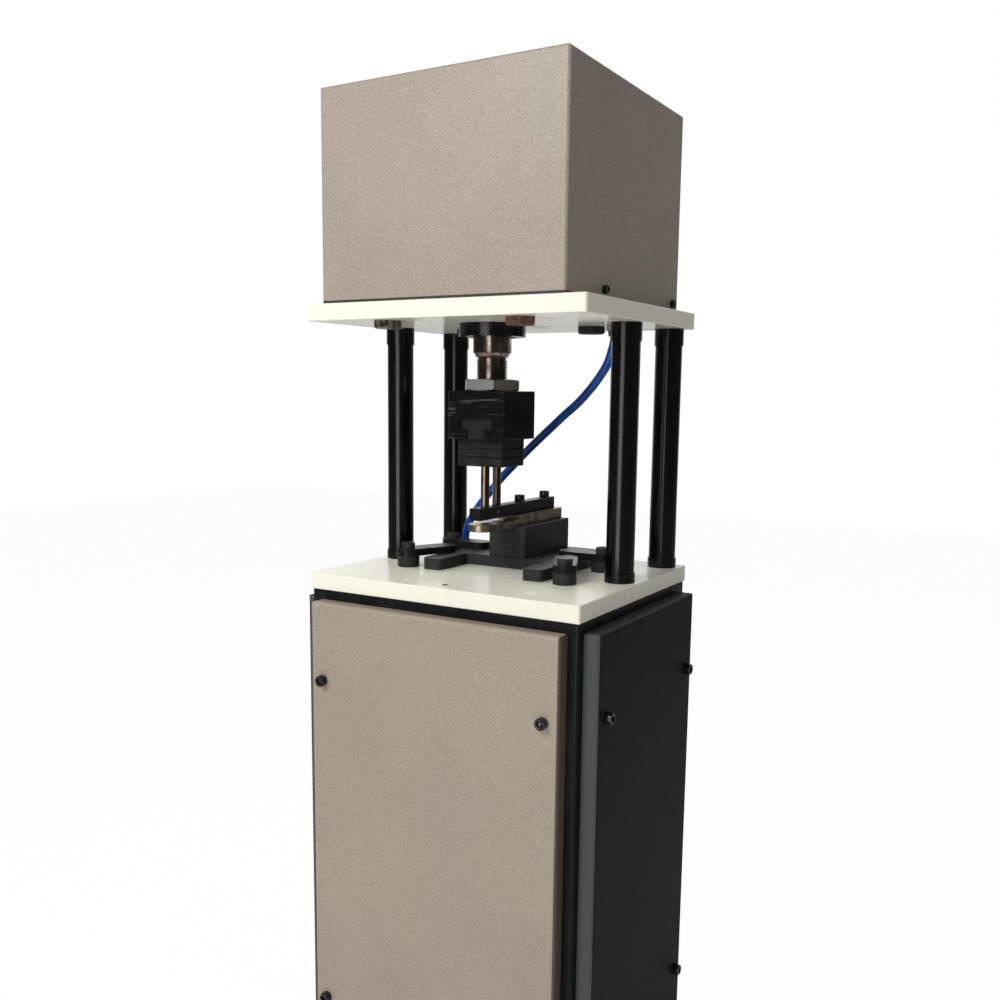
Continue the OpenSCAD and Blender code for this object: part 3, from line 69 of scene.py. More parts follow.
# %% [markdown]
# The camera stands where the photographer stood: a little to the right of the machine, near the
# height of the punch holder and looking slightly down. The place, the turn and the focal length
# come from matching the corners of both plates, the hood and the covers with the picture. A small
# upward shift keeps the picture's middle line where the lens had it.

# %% Camera
FOCUS_PX = 1022.9
PICTURE_PX = 1000
SENSOR_MM = 36
LENS_SHIFT = 0.04
EYE_MM = (614.7, -1048.1, 209.3)
TURN_DEG, TILT_DEG, ROLL_DEG = 30.63, 8.18, -0.65
eye = bpy.data.objects.new("eye", bpy.data.cameras.new("eye"))
bpy.context.scene.collection.objects.link(eye)
bpy.context.scene.camera = eye
eye.data.sensor_width = SENSOR_MM
eye.data.lens = FOCUS_PX * SENSOR_MM / PICTURE_PX
eye.data.shift_y = LENS_SHIFT
eye.data.clip_end = 30
turn, tilt, roll = (math.radians(v) for v in (TURN_DEG, TILT_DEG, ROLL_DEG))
ahead = Vector((-math.sin(turn) * math.cos(tilt), math.cos(turn) * math.cos(tilt), -math.sin(tilt)))
level = Vector((math.cos(turn), math.sin(turn), 0))
down = ahead.cross(level)
right = level * math.cos(roll) + down * math.sin(roll)
up = -(down * math.cos(roll) - level * math.sin(roll))
eye.matrix_world = Matrix((right, up, -ahead)).transposed().to_4x4()
eye.location = at(*EYE_MM)
print("lens:", round(eye.data.lens, 2), "mm")

# %% [markdown]
# A shader is a net of nodes, which is slow to write by hand. Two small classes make it readable.
# The first wraps a socket, so that plain sums such as 1 - mask add the Math nodes. The second
# starts a material, or the world, and its node method makes every other kind of node from its type,
# settings and sockets.

# %% Shader helpers
class Wire:
    """A shader socket that can be used in sums."""

    def __init__(self, finish, socket):
        self.finish, self.socket = finish, socket

    def sum_of(self, operation, a, b):
        """One Math node, with wires or plain numbers for a and b."""
        return self.finish.node("Math", {"operation": operation}, {0: a, 1: b})

    def __add__(self, other):
        return self.sum_of("ADD", self, other)

    def __sub__(self, other):
        return self.sum_of("SUBTRACT", self, other)

    def __rsub__(self, other):
        return self.sum_of("SUBTRACT", other, self)

    def __mul__(self, other):
        return self.sum_of("MULTIPLY", self, other)

    def __gt__(self, other):
        return self.sum_of("GREATER_THAN", self, other)

    __rmul__ = __mul__


class Finish:
    """A material, or the world, whose nodes are written as expressions."""

    def __init__(self, name, holder=None):
        self.material = holder or bpy.data.materials.new(name)
        self.material.use_nodes = True
        self.tree = self.material.node_tree
        self.tree.nodes.clear()

    def node(self, kind, settings=None, inputs=None, output=0):
        """A new node, its inputs set or linked, and a wire from the chosen output."""
        made = self.tree.nodes.new("ShaderNode" + kind)
        for key, value in (settings or {}).items():
            setattr(made, key, value)
        for key, value in (inputs or {}).items():
            if isinstance(value, Wire):
                self.tree.links.new(value.socket, made.inputs[key])
            else:
                made.inputs[key].default_value = value
        return Wire(self, made.outputs[output]) if made.outputs else None

    def named(self, kind, *sockets):
        """Several named outputs of one node."""
        made = self.node(kind).socket.node
        return [Wire(self, made.outputs[name]) for name in sockets]


print("helpers: Wire and Finish")

# %% [markdown]
# A few moves come back in every finish: a noise at a given size in millimetres, a soft step that
# turns it into a mask, a blend of two colours, and the last step that hands all values to the
# shader. Sizes are written in millimetres, because that is how a painter or a grinder thinks of
# grain.

# %% Moves that every finish uses
FRONT = (0, -1, 0)


def place(f, stretch=(1, 1, 1), turn=(0, 0, 0)):
    """Object coordinates, squeezed and turned for noises that run in one direction."""
    spot = f.node("TexCoord", output=3)
    return f.node("Mapping", None, {"Vector": spot, "Scale": stretch, "Rotation": turn})


def axes(f):
    """The three object coordinates of a point, X, Y and Z, in metres."""
    split = f.node("SeparateXYZ", None, {"Vector": f.node("TexCoord", output=3)})
    return [Wire(f, socket) for socket in split.socket.node.outputs]


def grain(f, size, spot, detail=2.0, rough=0.5):
    """Noise whose lumps are about size millimetres wide."""
    sockets = {"Vector": spot, "Scale": 1 / (size * MM), "Detail": detail, "Roughness": rough}
    return f.node("TexNoise", None, sockets)


def step(f, value, low, high):
    """Mask that is 0 up to low, 1 from high on, and soft between them."""
    sockets = {0: value, 1: low, 2: high, 3: 0.0, 4: 1.0}
    return f.node("MapRange", {"interpolation_type": "SMOOTHSTEP"}, sockets)


def between(f, low, high, value):
    """Number that goes from low to high while the value goes from 0 to 1."""
    return f.node("MapRange", None, {0: value, 1: 0.0, 2: 1.0, 3: low, 4: high})


def tint(f, a, b, share):
    """Blend of two colours, each a wire or three numbers."""
    def full(c):
        return c if isinstance(c, Wire) else (*c, 1.0)
    return f.node("Mix", {"data_type": "RGBA"}, {0: share, 6: full(a), 7: full(b)}, 2)


def dot(f, a, b):
    """Dot product of two directions."""
    return f.node("VectorMath", {"operation": "DOT_PRODUCT"}, {0: a, 1: b}, 1)


def facing(f, direction):
    """Share of a surface that faces a direction, from 0 to 1."""
    true_normal = f.node("NewGeometry", output=3)
    return step(f, dot(f, true_normal, direction), 0.45, 0.55)


def bumps(f, height, depth, strength):
    """Normal of a surface with bumps that are depth millimetres high."""
    return f.node("Bump", None, {"Height": height, "Distance": depth * MM, "Strength": strength})


def close(f, colour, roughness, normal, **constants):
    """The shader itself, where the constants are sockets that don't vary."""
    sockets = {"Base Color": colour, "Roughness": roughness, "Normal": normal}
    sockets.update({key.replace("_", " "): value for key, value in constants.items()})
    shader = f.node("BsdfPrincipled", None, sockets)
    f.node("OutputMaterial", None, {"Surface": shader})
    return f.material


print("moves: place, axes, grain, step, between, tint, dot, facing, bumps, close")

# %% [markdown]
# The hood and the covers wear a fine-textured powder coat with metal flakes. Powder melts into tiny
# mounds about a millimetre apart, and single flakes under the film catch the light. The mounds are
# a bump, the flakes a thresholded noise that also lowers the roughness, and a slow cloud keeps a
# large sheet from looking printed. The dark covers' front and upper folds get a lighter blue-grey,
# a painted light for the light that falls on them from the front and above, and the front cover's
# right fold gets a dark brown, a painted shade for the side turned from the light. So a coat may
# have painted light and painted shade on faces that look another way.

# %% Textured powder coats
CLOUD_MM = 160
MOTTLE_MM = 2.6
MOUND_MM = 1.3
FLAKE_MM = 0.75
# The first fold tone is painted light for faces turned to the front and up, the second painted
# shade for a face turned to the right.
PAINTED_LIGHT_GREY = (0.064, 0.068, 0.069)
PAINTED_SHADE_BROWN = (0.085, 0.066, 0.048)


def scaled(colour, share):
    return tuple(share * c for c in colour)


def powder_coat(name, colour, fleck, shine, fleck_share=0.56, gloss=0.42, lit_and_shaded_faces=()):
    f = Finish(name)
    spot = place(f)
    cloud = grain(f, CLOUD_MM, spot, 3)
    mound = grain(f, MOUND_MM, spot, 2)
    flake = step(f, grain(f, FLAKE_MM, spot, 1), fleck_share, fleck_share + 0.1)
    body = tint(f, scaled(colour, 0.90), colour, step(f, cloud, 0.3, 0.7))
    spotted = step(f, grain(f, MOTTLE_MM, spot, 2), 0.5, 0.75)
    mottled = tint(f, body, scaled(colour, 0.82), spotted)
    face = tint(f, mottled, fleck, flake * 0.55)
    # Painted light and painted shade: faces that look one way get another tone.
    for direction, tone, share in lit_and_shaded_faces:
        face = tint(f, face, tone, facing(f, direction) * share)
    return close(f, face, shine - 0.16 * flake, bumps(f, mound, 0.10, 0.55),
                 Specular_IOR_Level=gloss)


taupe_coat = powder_coat("taupe_coat", (0.265, 0.222, 0.170), (0.46, 0.41, 0.34), 0.52,
                         lit_and_shaded_faces=[((1, 0, 0), PAINTED_SHADE_BROWN, 1.0)])
hood_coat = powder_coat("hood_coat", (0.270, 0.226, 0.184), (0.52, 0.47, 0.41), 0.48)
grey_coat = powder_coat("grey_coat", (0.0170, 0.0160, 0.0138), (0.040, 0.039, 0.036), 0.50,
                        fleck_share=0.6, gloss=0.03,
                        lit_and_shaded_faces=[(FRONT, PAINTED_LIGHT_GREY, 1.0), ((0, 0, 1), PAINTED_LIGHT_GREY, 0.6)])
print("coats:", taupe_coat.name, hood_coat.name, grey_coat.name)

# %% [markdown]
# The two thick plates are sprayed with gloss ivory paint. Gloss paint on plate steel shows three
# things: a faint orange peel, a slightly warmer tone where hands and oil have been, and small dull
# patches. The peel is a very shallow bump, and the stains are two noises of different size. The
# small hole near the table's front edge was drilled after spraying, so its wall is bare oily steel,
# and its near-black colour also paints the shade inside the hole. A mask finds it by the distance
# from the hole's middle line.

# %% Gloss ivory paint
IVORY = (0.70, 0.675, 0.585)
IVORY_STAIN = (0.64, 0.605, 0.51)
GRIME = (0.36, 0.32, 0.25)
HOLE_WALL_AND_SHADE = (0.012, 0.010, 0.008)
HOLE_Y = -127 * MM
HOLE_R = 4.2 * MM
HOLE_SKIN = 0.3 * MM


def ivory_gloss():
    f = Finish("ivory_gloss")
    spot = place(f)
    stain = step(f, grain(f, 46, spot, 4, 0.6), 0.52, 0.78)
    speck = step(f, grain(f, 5.5, spot, 3, 0.6), 0.68, 0.75)
    paint = tint(f, IVORY, IVORY_STAIN, stain * 0.5)
    soiled = tint(f, paint, GRIME, speck * 0.25)
    x, y, z = axes(f)
    flat = f.node("CombineXYZ", None, {"X": x, "Y": y - HOLE_Y, "Z": 0.0})
    apart = f.node("VectorMath", {"operation": "LENGTH"}, {0: flat}, 1)
    inside = (1 - (apart > HOLE_R)) * (1 - (z > TABLE_Z - HOLE_SKIN))
    # The hole's wall: dark oily steel, with painted shade inside the hole.
    face = tint(f, soiled, HOLE_WALL_AND_SHADE, inside)
    dull = between(f, 0.20, 0.36, stain)
    peel = bumps(f, grain(f, 7, spot, 1), 0.05, 0.6)
    return close(f, face, dull, peel, Specular_IOR_Level=0.14)


ivory = ivory_gloss()
print("paint:", ivory.name)

# %% [markdown]
# Pillars and gland are gloss black, the cabinet's frame is a plainer satin black. Black surfaces
# are read by their highlights alone, so the colour stays almost even and the roughness varies: oily
# fingers leave duller bands.

# %% Black paints
def black_paint(name, shade, low, high, gloss):
    f = Finish(name)
    spot = place(f, (1, 1, 0.35))
    smear = step(f, grain(f, 22, spot, 4, 0.65), 0.45, 0.75)
    face = tint(f, (shade, shade, shade * 1.06), (shade * 2.1, shade * 2.0, shade * 1.95), smear)
    return close(f, face, between(f, low, high, smear),
                 bumps(f, grain(f, 5, spot, 1), 0.03, 0.5), Specular_IOR_Level=gloss)


gloss_black = black_paint("gloss_black", 0.0012, 0.20, 0.30, 0.30)
frame_black = black_paint("frame_black", 0.0060, 0.30, 0.46, 0.12)
print("paints:", gloss_black.name, frame_black.name)

# %% [markdown]
# Tool steel that has been blackened and oiled is not one black. It has cloudy brown patches where
# the oil is thick, fine grinding lines along the faces, pale rubbed spots and a thin bright line
# along the edges, partly wear where hands and spanners touch and partly a painted highlight on the
# rounded edges. Blender's Bevel node finds edges: near one, its rounded normal leans away from the
# true normal, and the difference is the mask. The same recipe with other numbers gives the tool
# plates, the worn clamps and the scratched punch holder. On the tool plates the edge line is near
# black instead, a painted shade along the edges and the seams between the plates.

# %% Blackened and oiled steel
def near_edge(f, reach):
    round_normal = f.node("Bevel", {"samples": 6}, {"Radius": reach * MM})
    true_normal = f.node("NewGeometry", output=3)
    return step(f, 1 - dot(f, round_normal, true_normal), 0.03, 0.22)


# Lighter edge: wear where hands touch, and a painted highlight on the rounded edges.
WORN_EDGE_AND_HIGHLIGHT = (0.17, 0.16, 0.145)
# Near-black edge: painted shade along the edges and between stacked plates.
PAINTED_EDGE_SHADE = (0.0015, 0.0015, 0.0015)
RUBBED = (0.12, 0.115, 0.11)
SCRATCHED = (0.075, 0.073, 0.070)


def blackened(name, shade, brown, lines, rub, shine, gloss=0.10, scratches=0.0, edge=0.35,
              edge_shade=WORN_EDGE_AND_HIGHLIGHT):
    f = Finish(name)
    spot = place(f)
    cloud = step(f, grain(f, 14, spot, 5, 0.65), 0.42, 0.68)
    stroke = grain(f, 1.2, place(f, (0.08, 0.08, 1)), 3, 0.7)
    rubs = grain(f, 3.2, place(f, (0.25, 0.25, 1)), 4, 0.7)
    base = tint(f, (shade, shade, shade * 1.04), brown, cloud * 0.7)
    lined = tint(f, base, (shade * 3.0,) * 3, step(f, stroke, 0.52, 0.8) * lines)
    worn = tint(f, lined, RUBBED, step(f, rubs, 0.60, 0.72) * rub)
    long_lines = grain(f, 2.0, place(f, (0.045, 0.045, 1.0), (0.0, 0.10, 0.0)), 2, 0.6)
    scratch = step(f, long_lines, 0.55, 0.72)
    patch = step(f, grain(f, 18, spot, 2), 0.40, 0.60)
    marked = tint(f, worn, SCRATCHED, scratch * patch * facing(f, FRONT) * scratches)
    broken = step(f, grain(f, 5, spot, 3, 0.6), 0.40, 0.62)
    # The edge line: wear and painted highlight, or near-black painted shade on the tool plates.
    face = tint(f, marked, edge_shade, near_edge(f, 0.7) * broken * edge)
    rough = between(f, shine, shine + 0.2, cloud)
    return close(f, face, rough, bumps(f, stroke, 0.02, 0.6), Specular_IOR_Level=gloss)


black_oxide = blackened("black_oxide", 0.0075, (0.0115, 0.0085, 0.0065), 0.3, 0.10, 0.28, 0.12)
holder_black = blackened("holder_black", 0.0045, (0.0060, 0.0048, 0.0038), 0.2, 0.06, 0.28, 0.06,
                         scratches=0.7, edge=0.25)
block_black = blackened("block_black", 0.026, (0.036, 0.030, 0.023), 0.5, 0.12, 0.32, 0.10)
# The tool plates' edges are painted near black: painted shade along edges and seams.
tool_grey = blackened("tool_grey", 0.0135, (0.018, 0.0145, 0.011), 0.9, 0.20, 0.30, 0.06,
                      scratches=0.3, edge=1.3, edge_shade=PAINTED_EDGE_SHADE)
worn_black = blackened("worn_black", 0.021, (0.036, 0.027, 0.020), 0.4, 0.35, 0.36, 0.12)
black_screws = blackened("black_screws", 0.0045, (0.0065, 0.005, 0.004), 0.2, 0.08, 0.18, 0.45,
                         edge=0.2)
blackened_all = (black_oxide, holder_black, block_black, tool_grey, worn_black, black_screws)
print("steels:", [steel.name for steel in blackened_all])

# %% [markdown]
# Ground steel parts are bare and oiled: the rod, the punches and the horn have a brown film of oil
# on bright metal. Bright parts are metallic with a low roughness, and fine turning lines run round
# them, so the noise is squeezed along one axis only. Of the two punches the right one is darker
# brown and duller, and the jam nut's right faces are darker brown, a painted shade on the side
# turned from the light. So a finish may also be given a rule for where it is darker.

# %% Bare steels
ROUND_Z = (0.05, 0.05, 1)


def bare_steel(name, light, dark, size, stretch, low, high, stain=0.6, dull=None):
    f = Finish(name)
    spot = place(f)
    film_and_shade = step(f, grain(f, size, spot, 5, 0.62), 0.38, 0.68)
    if dull is not None:
        # The oil film, joined with a darker rule: painted shade on the nut's right faces.
        film_and_shade = f.node("Math", {"operation": "MAXIMUM"}, {0: film_and_shade * stain, 1: dull(f)})
        stain = 1.0
    turned = grain(f, 0.9, place(f, stretch), 2, 0.6)
    face = tint(f, light, dark, film_and_shade * stain)
    lined = tint(f, face, scaled(light, 0.7), step(f, turned, 0.45, 0.75) * 0.25)
    return close(f, lined, between(f, low, high, film_and_shade), bumps(f, turned, 0.015, 0.7),
                 Metallic=1.0)


# The right punch is darker brown and duller.
def right_half(f):
    return step(f, axes(f)[0], -2 * MM, 3 * MM) * 0.97


# Painted shade: faces turned to the right are darker.
def shaded_right_faces(f):
    return facing(f, (1, 0, 0)) * 0.9


oiled_rod = bare_steel("oiled_rod", (0.34, 0.28, 0.24), (0.050, 0.034, 0.025), 20, ROUND_Z,
                       0.12, 0.28, stain=0.9)
punch_steel = bare_steel("punch_steel", (0.58, 0.49, 0.38), (0.038, 0.021, 0.013), 16, (1, 1, 0.05),
                         0.07, 0.30, stain=0.8, dull=right_half)
horn_steel = bare_steel("horn_steel", (0.27, 0.225, 0.165), (0.085, 0.062, 0.042), 12, (1, 0.05, 1),
                        0.30, 0.50, stain=0.75)
bright_zinc = bare_steel("bright_zinc", (0.80, 0.795, 0.77), (0.16, 0.125, 0.09), 18, (1, 1, 0.2),
                         0.22, 0.36, stain=0.2, dull=shaded_right_faces)
ground_steel = bare_steel("ground_steel", (0.62, 0.62, 0.63), (0.48, 0.46, 0.44), 30, ROUND_Z,
                          0.22, 0.34)
grey_metal = bare_steel("grey_metal", (0.30, 0.31, 0.33), (0.16, 0.16, 0.17), 8, (1, 1, 0.2),
                        0.32, 0.48)
cast_alu = bare_steel("cast_alu", (0.60, 0.61, 0.62), (0.50, 0.50, 0.50), 26, (0.4, 0.4, 1),
                      0.34, 0.46)
plain_brass = bare_steel("plain_brass", (0.72, 0.55, 0.24), (0.50, 0.36, 0.15), 12, (1, 1, 0.2),
                         0.24, 0.40)
bare_all = (oiled_rod, punch_steel, horn_steel, bright_zinc, ground_steel, grey_metal, cast_alu,
            plain_brass)
print("bare metals:", [metal.name for metal in bare_all])

# %% [markdown]
# The four heads under the crown have lived differently: the front left one is rubbed bright, the
# front right one is rusty and the rear ones are black. One material does it, because it reads the
# place of a point on the machine and picks the finish by its side.

# %% Mixed bolt heads under the crown
CYLINDER_Y = -32 * MM


def crown_bolt_finish():
    f = Finish("crown_bolts")
    spot = place(f)
    across, along, _ = axes(f)
    rear = along > CYLINDER_Y
    rusty = across > 0.0
    rust_spot = step(f, grain(f, 4, spot, 5, 0.7), 0.35, 0.6)
    rust = tint(f, (0.075, 0.040, 0.025), (0.17, 0.105, 0.07), rust_spot)
    oil = step(f, grain(f, 6, spot, 4), 0.4, 0.65)
    bright = tint(f, (0.24, 0.21, 0.165), (0.06, 0.045, 0.03), oil)
    front = tint(f, bright, rust, rusty)
    face = tint(f, front, (0.022, 0.021, 0.021), rear)
    rough = between(f, 0.32, 0.68, rusty)
    return close(f, face, rough, bumps(f, rust_spot, 0.06, 0.4), Metallic=0.7)


crown_bolts = crown_bolt_finish()
print("bolts:", crown_bolts.name)

# %% [markdown]
# The remaining finishes are small: rubber for feet and seals, dark plastic for the valve's coil and
# the lower fitting, bare sheet for the floor pan, and the hose. The hose is dyed polyurethane:
# smooth, a little see-through in thick light, which a touch of subsurface light imitates. Its
# middle is painted darker than both ends, a painted shade.

# %% Rubber, plastic, sheet and hose
# Heights above the table in mm where the painted shade on the hose's middle fades in and out.
SHADE_LEVELS_MM = (70, 110, 205, 240)


def soft_black(name, shade, size, shine):
    f = Finish(name)
    pore = grain(f, size, place(f), 3)
    face = tint(f, (shade,) * 3, (1.7 * shade,) * 3, step(f, pore, 0.4, 0.7))
    return close(f, face, between(f, shine, shine + 0.12, pore), bumps(f, pore, 0.05, 0.4))


def hose_blue():
    f = Finish("hose_blue")
    spot = place(f)
    dust = step(f, grain(f, 9, spot, 4), 0.5, 0.75)
    unshaded = tint(f, (0.003, 0.055, 0.29), (0.004, 0.090, 0.42), dust)
    height = axes(f)[2]
    shade_fades = [at(0, 0, level).z for level in SHADE_LEVELS_MM]
    # Painted shade on the hose's middle.
    painted_shade = step(f, height, shade_fades[0], shade_fades[1]) * (1 - step(f, height, shade_fades[2], shade_fades[3]))
    face = tint(f, unshaded, (0.003, 0.024, 0.115), painted_shade * 0.75)
    return close(f, face, between(f, 0.20, 0.34, dust), bumps(f, grain(f, 3, spot), 0.02, 0.4),
                 Subsurface_Weight=0.06, Subsurface_Scale=2 * MM, Specular_IOR_Level=0.35)


rubber = soft_black("rubber", 0.014, 1.5, 0.62)
dark_plastic = soft_black("dark_plastic", 0.022, 0.8, 0.42)
pan_sheet = bare_steel("pan_sheet", (0.30, 0.31, 0.32), (0.22, 0.22, 0.22), 24, (0.05, 1, 1),
                       0.36, 0.5)
blue = hose_blue()
print("last finishes:", rubber.name, dark_plastic.name, pan_sheet.name, blue.name)

# %% [markdown]
# Each solid is given its finish by one table. A finish goes onto the slots that a solid already
# has, and its mesh isn't touched.

# %% Finishes on the solids
WEARS = {
    rubber: "rubber_feet hood_seal rod_wiper",
    ground_steel: "foot_bolts panel_spacers hood_brackets tie_rods piston_nut",
    frame_black: "corner_posts lower_rails upper_rails service_plate",
    pan_sheet: "floor_pan",
    plain_brass: "air_inlet_fitting valve_silencers",
    taupe_coat: "front_panel",
    grey_coat: "rear_panel left_panel right_panel",
    hood_coat: "hood",
    black_screws: "panel_screws table_bolts hood_screws die_block_screws stripper_screws "
                  "tool_screws",
    ivory: "table_plate crown_plate",
    gloss_black: "front_left_pillar front_right_pillar rear_left_pillar rear_right_pillar "
                 "rod_gland",
    cast_alu: "front_cap cylinder_barrel rear_cap valve_body piston",
    crown_bolts: "cylinder_bolts",
    grey_metal: "cylinder_fittings upper_hose_fitting",
    dark_plastic: "lower_hose_fitting valve_coil",
    black_oxide: "clamp_straps stripper_bar",
    holder_black: "punch_holder",
    block_black: "base_plate die_block",
    worn_black: "clamp_risers clamp_bolts",
    horn_steel: "die_plate die_bushes",
    oiled_rod: "piston_rod",
    punch_steel: "punches",
    bright_zinc: "jam_nut",
    tool_grey: "tool_shank backing_plate punch_plate retaining_plate",
    blue: "air_hose",
}
dressed = 0
for finish, names in WEARS.items():
    for name in names.split():
        solid = nodes[name]
        if not solid.material_slots:
            solid.data.materials.append(finish)
        for held in solid.material_slots:
            held.material = finish
        dressed += 1
print("dressed:", dressed, "of", len(nodes))

# %% [markdown]
# The air hose runs free from a fitting under the crown to one in the table. It is a fixed length of
# stiff tube, so it leaves each fitting straight and takes the rest in one slow curve. A curve
# object with a round bevel is the simplest tube, and the points are those of the solid's route.

# %% Air hose
HOSE = [
    (128, 20, 276), (128, 20, 268), (124.5, 22.5, 258), (118, 25, 243), (108, 28, 229.5),
    (93, 32, 213.5), (76, 37, 198.5), (56, 42, 184), (36, 48, 169), (16, 54, 154), (-4, 60, 138.5),
    (-24, 66, 122), (-44, 71, 105), (-64, 76, 86), (-82, 80, 67.5), (-95, 83, 52), (-104, 85, 39),
    (-109, 86, 27), (-110, 86, 20), (-110, 86, 12),
]
HOSE_R = 5 * MM
line = bpy.data.curves.new("hose_line", "CURVE")
line.dimensions = "3D"
line.resolution_u = 6
line.bevel_depth = HOSE_R
line.bevel_resolution = 6
line.use_fill_caps = True
track = line.splines.new("BEZIER")
track.bezier_points.add(len(HOSE) - 1)
for knot, spot in zip(track.bezier_points, HOSE):
    knot.co = at(*spot)
    knot.handle_left_type = knot.handle_right_type = "AUTO"
line.materials.append(blue)
hose = bpy.data.objects.new("blue_air_hose", line)
bpy.context.scene.collection.objects.link(hose)
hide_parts("air_hose")
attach(hose, "frame")

# %% [markdown]
# Several small pieces are turned or knurled, and all of them are rings stacked along an axis. One
# helper makes them: it starts from a circle, extrudes its edge again and again, and moves each new
# ring to its height and radius. A radius may also be a rule that gives the radius at an angle,
# which makes knurls and hexagons with the same helper.

# %% Helpers for turned pieces
SEGMENTS = 48
KNURL_SHARE = 0.955
SMOOTH_DEG = 32
WELD_M = 1e-6
TOLERANCE = 0.05 * MM


def knurl(radius):
    return lambda angle: radius * (1.0 if round(angle * SEGMENTS / math.tau) % 2 else KNURL_SHARE)


def hexagon(across_flats):
    return lambda angle: across_flats / 2 / math.cos(angle % (math.pi / 3) - math.pi / 6)


def stack_rings(work, rings, closed=False, segments=SEGMENTS):
    """Rings of (height, radius) above one another, with flat ends or closed on themselves."""
    circle = bmesh.ops.create_circle(work, cap_ends=not closed, segments=segments, radius=1.0)
    verts = circle["verts"]
    edges = list(dict.fromkeys(edge for vert in verts for edge in vert.link_edges))
    for number, (height, radius) in enumerate(rings):
        if number:
            grown = bmesh.ops.extrude_edge_only(work, edges=edges)["geom"]
            verts = [g for g in grown if isinstance(g, bmesh.types.BMVert)]
            edges = [g for g in grown if isinstance(g, bmesh.types.BMEdge)]
        for vert in verts:
            angle = math.atan2(vert.co.y, vert.co.x)
            reach = radius(angle) if callable(radius) else radius
            vert.co = (reach * math.cos(angle), reach * math.sin(angle), height)
    if not closed:
        bmesh.ops.contextual_create(work, geom=edges)


def soften(work):
    """Smooth faces, with sharp edges where two faces meet at more than SMOOTH_DEG."""
    limit = math.radians(SMOOTH_DEG)
    for face in work.faces:
        face.smooth = True
    for edge in work.edges:
        edge.smooth = len(edge.link_faces) == 2 and edge.calc_face_angle(math.pi) < limit


def settle(work, name, finish, body, stands_for=()):
    """Weld and smooth the mesh, make its object and attach it to its body."""
    bmesh.ops.remove_doubles(work, verts=work.verts, dist=WELD_M)
    bmesh.ops.recalc_face_normals(work, faces=work.faces)
    soften(work)
    mesh = bpy.data.meshes.new(name)
    work.to_mesh(mesh)
    work.free()
    mesh.materials.append(finish)
    piece = bpy.data.objects.new(name, mesh)
    bpy.context.scene.collection.objects.link(piece)
    if stands_for:
        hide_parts(*stands_for)
    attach(piece, body)
    print(name, len(mesh.polygons), "faces")


def merged_copy(node):
    """The mesh of a solid as one to work on, with its doubled corners merged."""
    work = bmesh.new()
    work.from_mesh(nodes[node].data)
    bmesh.ops.remove_doubles(work, verts=work.verts, dist=WELD_M)
    return work


print("ring segments:", SEGMENTS)

# %% [markdown]
# The piston rod ends in a fine thread that runs through the jam nut into the punch holder. The
# solid has a plain cylinder there. A copy of it is narrowed to the thread's root, and the ridge is
# one small profile that is spun round the rod while it climbs one pitch a turn.

# %% Threaded piston rod
THREAD_TOP = at(0, 0, 248.5).z
THREAD_R = 18 * MM
ROOT_R = 16.3 * MM
PITCH = 3.0 * MM
TURNS = 9
RUN_OUT = 1.2 * MM
RIDGE_MM = ((16.2, -1.30), (17.95, -0.28), (17.95, 0.28), (16.2, 1.30))
rod_low, rod_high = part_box("piston_rod")
axis_x, axis_y = (rod_low[0] + rod_high[0]) / 2, (rod_low[1] + rod_high[1]) / 2
rod = merged_copy("piston_rod")
narrowed = 0
for vert in rod.verts:
    reach = math.hypot(vert.co.x - axis_x, vert.co.y - axis_y)
    if abs(reach - THREAD_R) < TOLERANCE and vert.co.z < THREAD_TOP + 2 * TOLERANCE:
        vert.co.x = axis_x + (vert.co.x - axis_x) * ROOT_R / THREAD_R
        vert.co.y = axis_y + (vert.co.y - axis_y) * ROOT_R / THREAD_R
        narrowed += 1
ridge_start = THREAD_TOP - TURNS * PITCH - RUN_OUT
profile = [rod.verts.new((axis_x + r * MM, axis_y, ridge_start + z * MM)) for r, z in RIDGE_MM]
loop = [rod.edges.new((profile[i - 1], profile[i])) for i in range(len(profile))]
bmesh.ops.spin(rod, geom=profile + loop, cent=(axis_x, axis_y, 0), axis=(0, 0, 1),
               dvec=(0, 0, PITCH / SEGMENTS), angle=math.tau * TURNS, steps=SEGMENTS * TURNS,
               use_merge=False, use_normal_flip=False, use_duplicate=False)
settle(rod, "threaded_piston_rod", oiled_rod, "ram", ["piston_rod"])
print("thread points narrowed:", narrowed)

# %% [markdown]
# Covers, hood and stripper bar are held by socket head screws. A real one has a knurled head for
# the fingers, a rounded rim and a hexagon socket. Each screw of the solid model is found as a loose
# part of its node's mesh, and its place, direction and sizes are measured there, so that the
# detailed screw stands exactly where the plain one was.

# %% Knurled socket head screws
SOCKET_DEPTH_SHARE = 0.52
SOCKET_WIDTH_SHARE = 0.84
SOCKET_RIM_SHARE = 0.62
HEAD_NECK_SHARE = 0.95
HEAD_TOP_SHARE = 0.88


def loose_parts(work):
    """The separate bodies of a mesh, each as a list of its points."""
    left, parts = dict.fromkeys(work.verts), []
    while left:
        part = [left.popitem()[0]]
        for vert in part:
            for edge in vert.link_edges:
                other = edge.other_vert(vert)
                if other in left:
                    del left[other]
                    part.append(other)
        parts.append(part)
    return parts


def head_rings(head_r, head_h, shank_r, length):
    """Outline of a socket head screw whose seat is at height 0 and whose head points up."""
    socket = shank_r * 2 * SOCKET_WIDTH_SHARE
    floor = head_h * (1 - SOCKET_DEPTH_SHARE)
    return [
        (-length, shank_r), (0, shank_r), (0, head_r * HEAD_NECK_SHARE),
        (head_h * 0.06, knurl(head_r)), (head_h * 0.86, knurl(head_r)),
        (head_h * 0.93, head_r * KNURL_SHARE), (head_h, head_r * HEAD_TOP_SHARE),
        (head_h, socket * SOCKET_RIM_SHARE), (head_h * 0.95, hexagon(socket)),
        (floor, hexagon(socket)), (floor - socket * 0.15, socket * 0.1)]


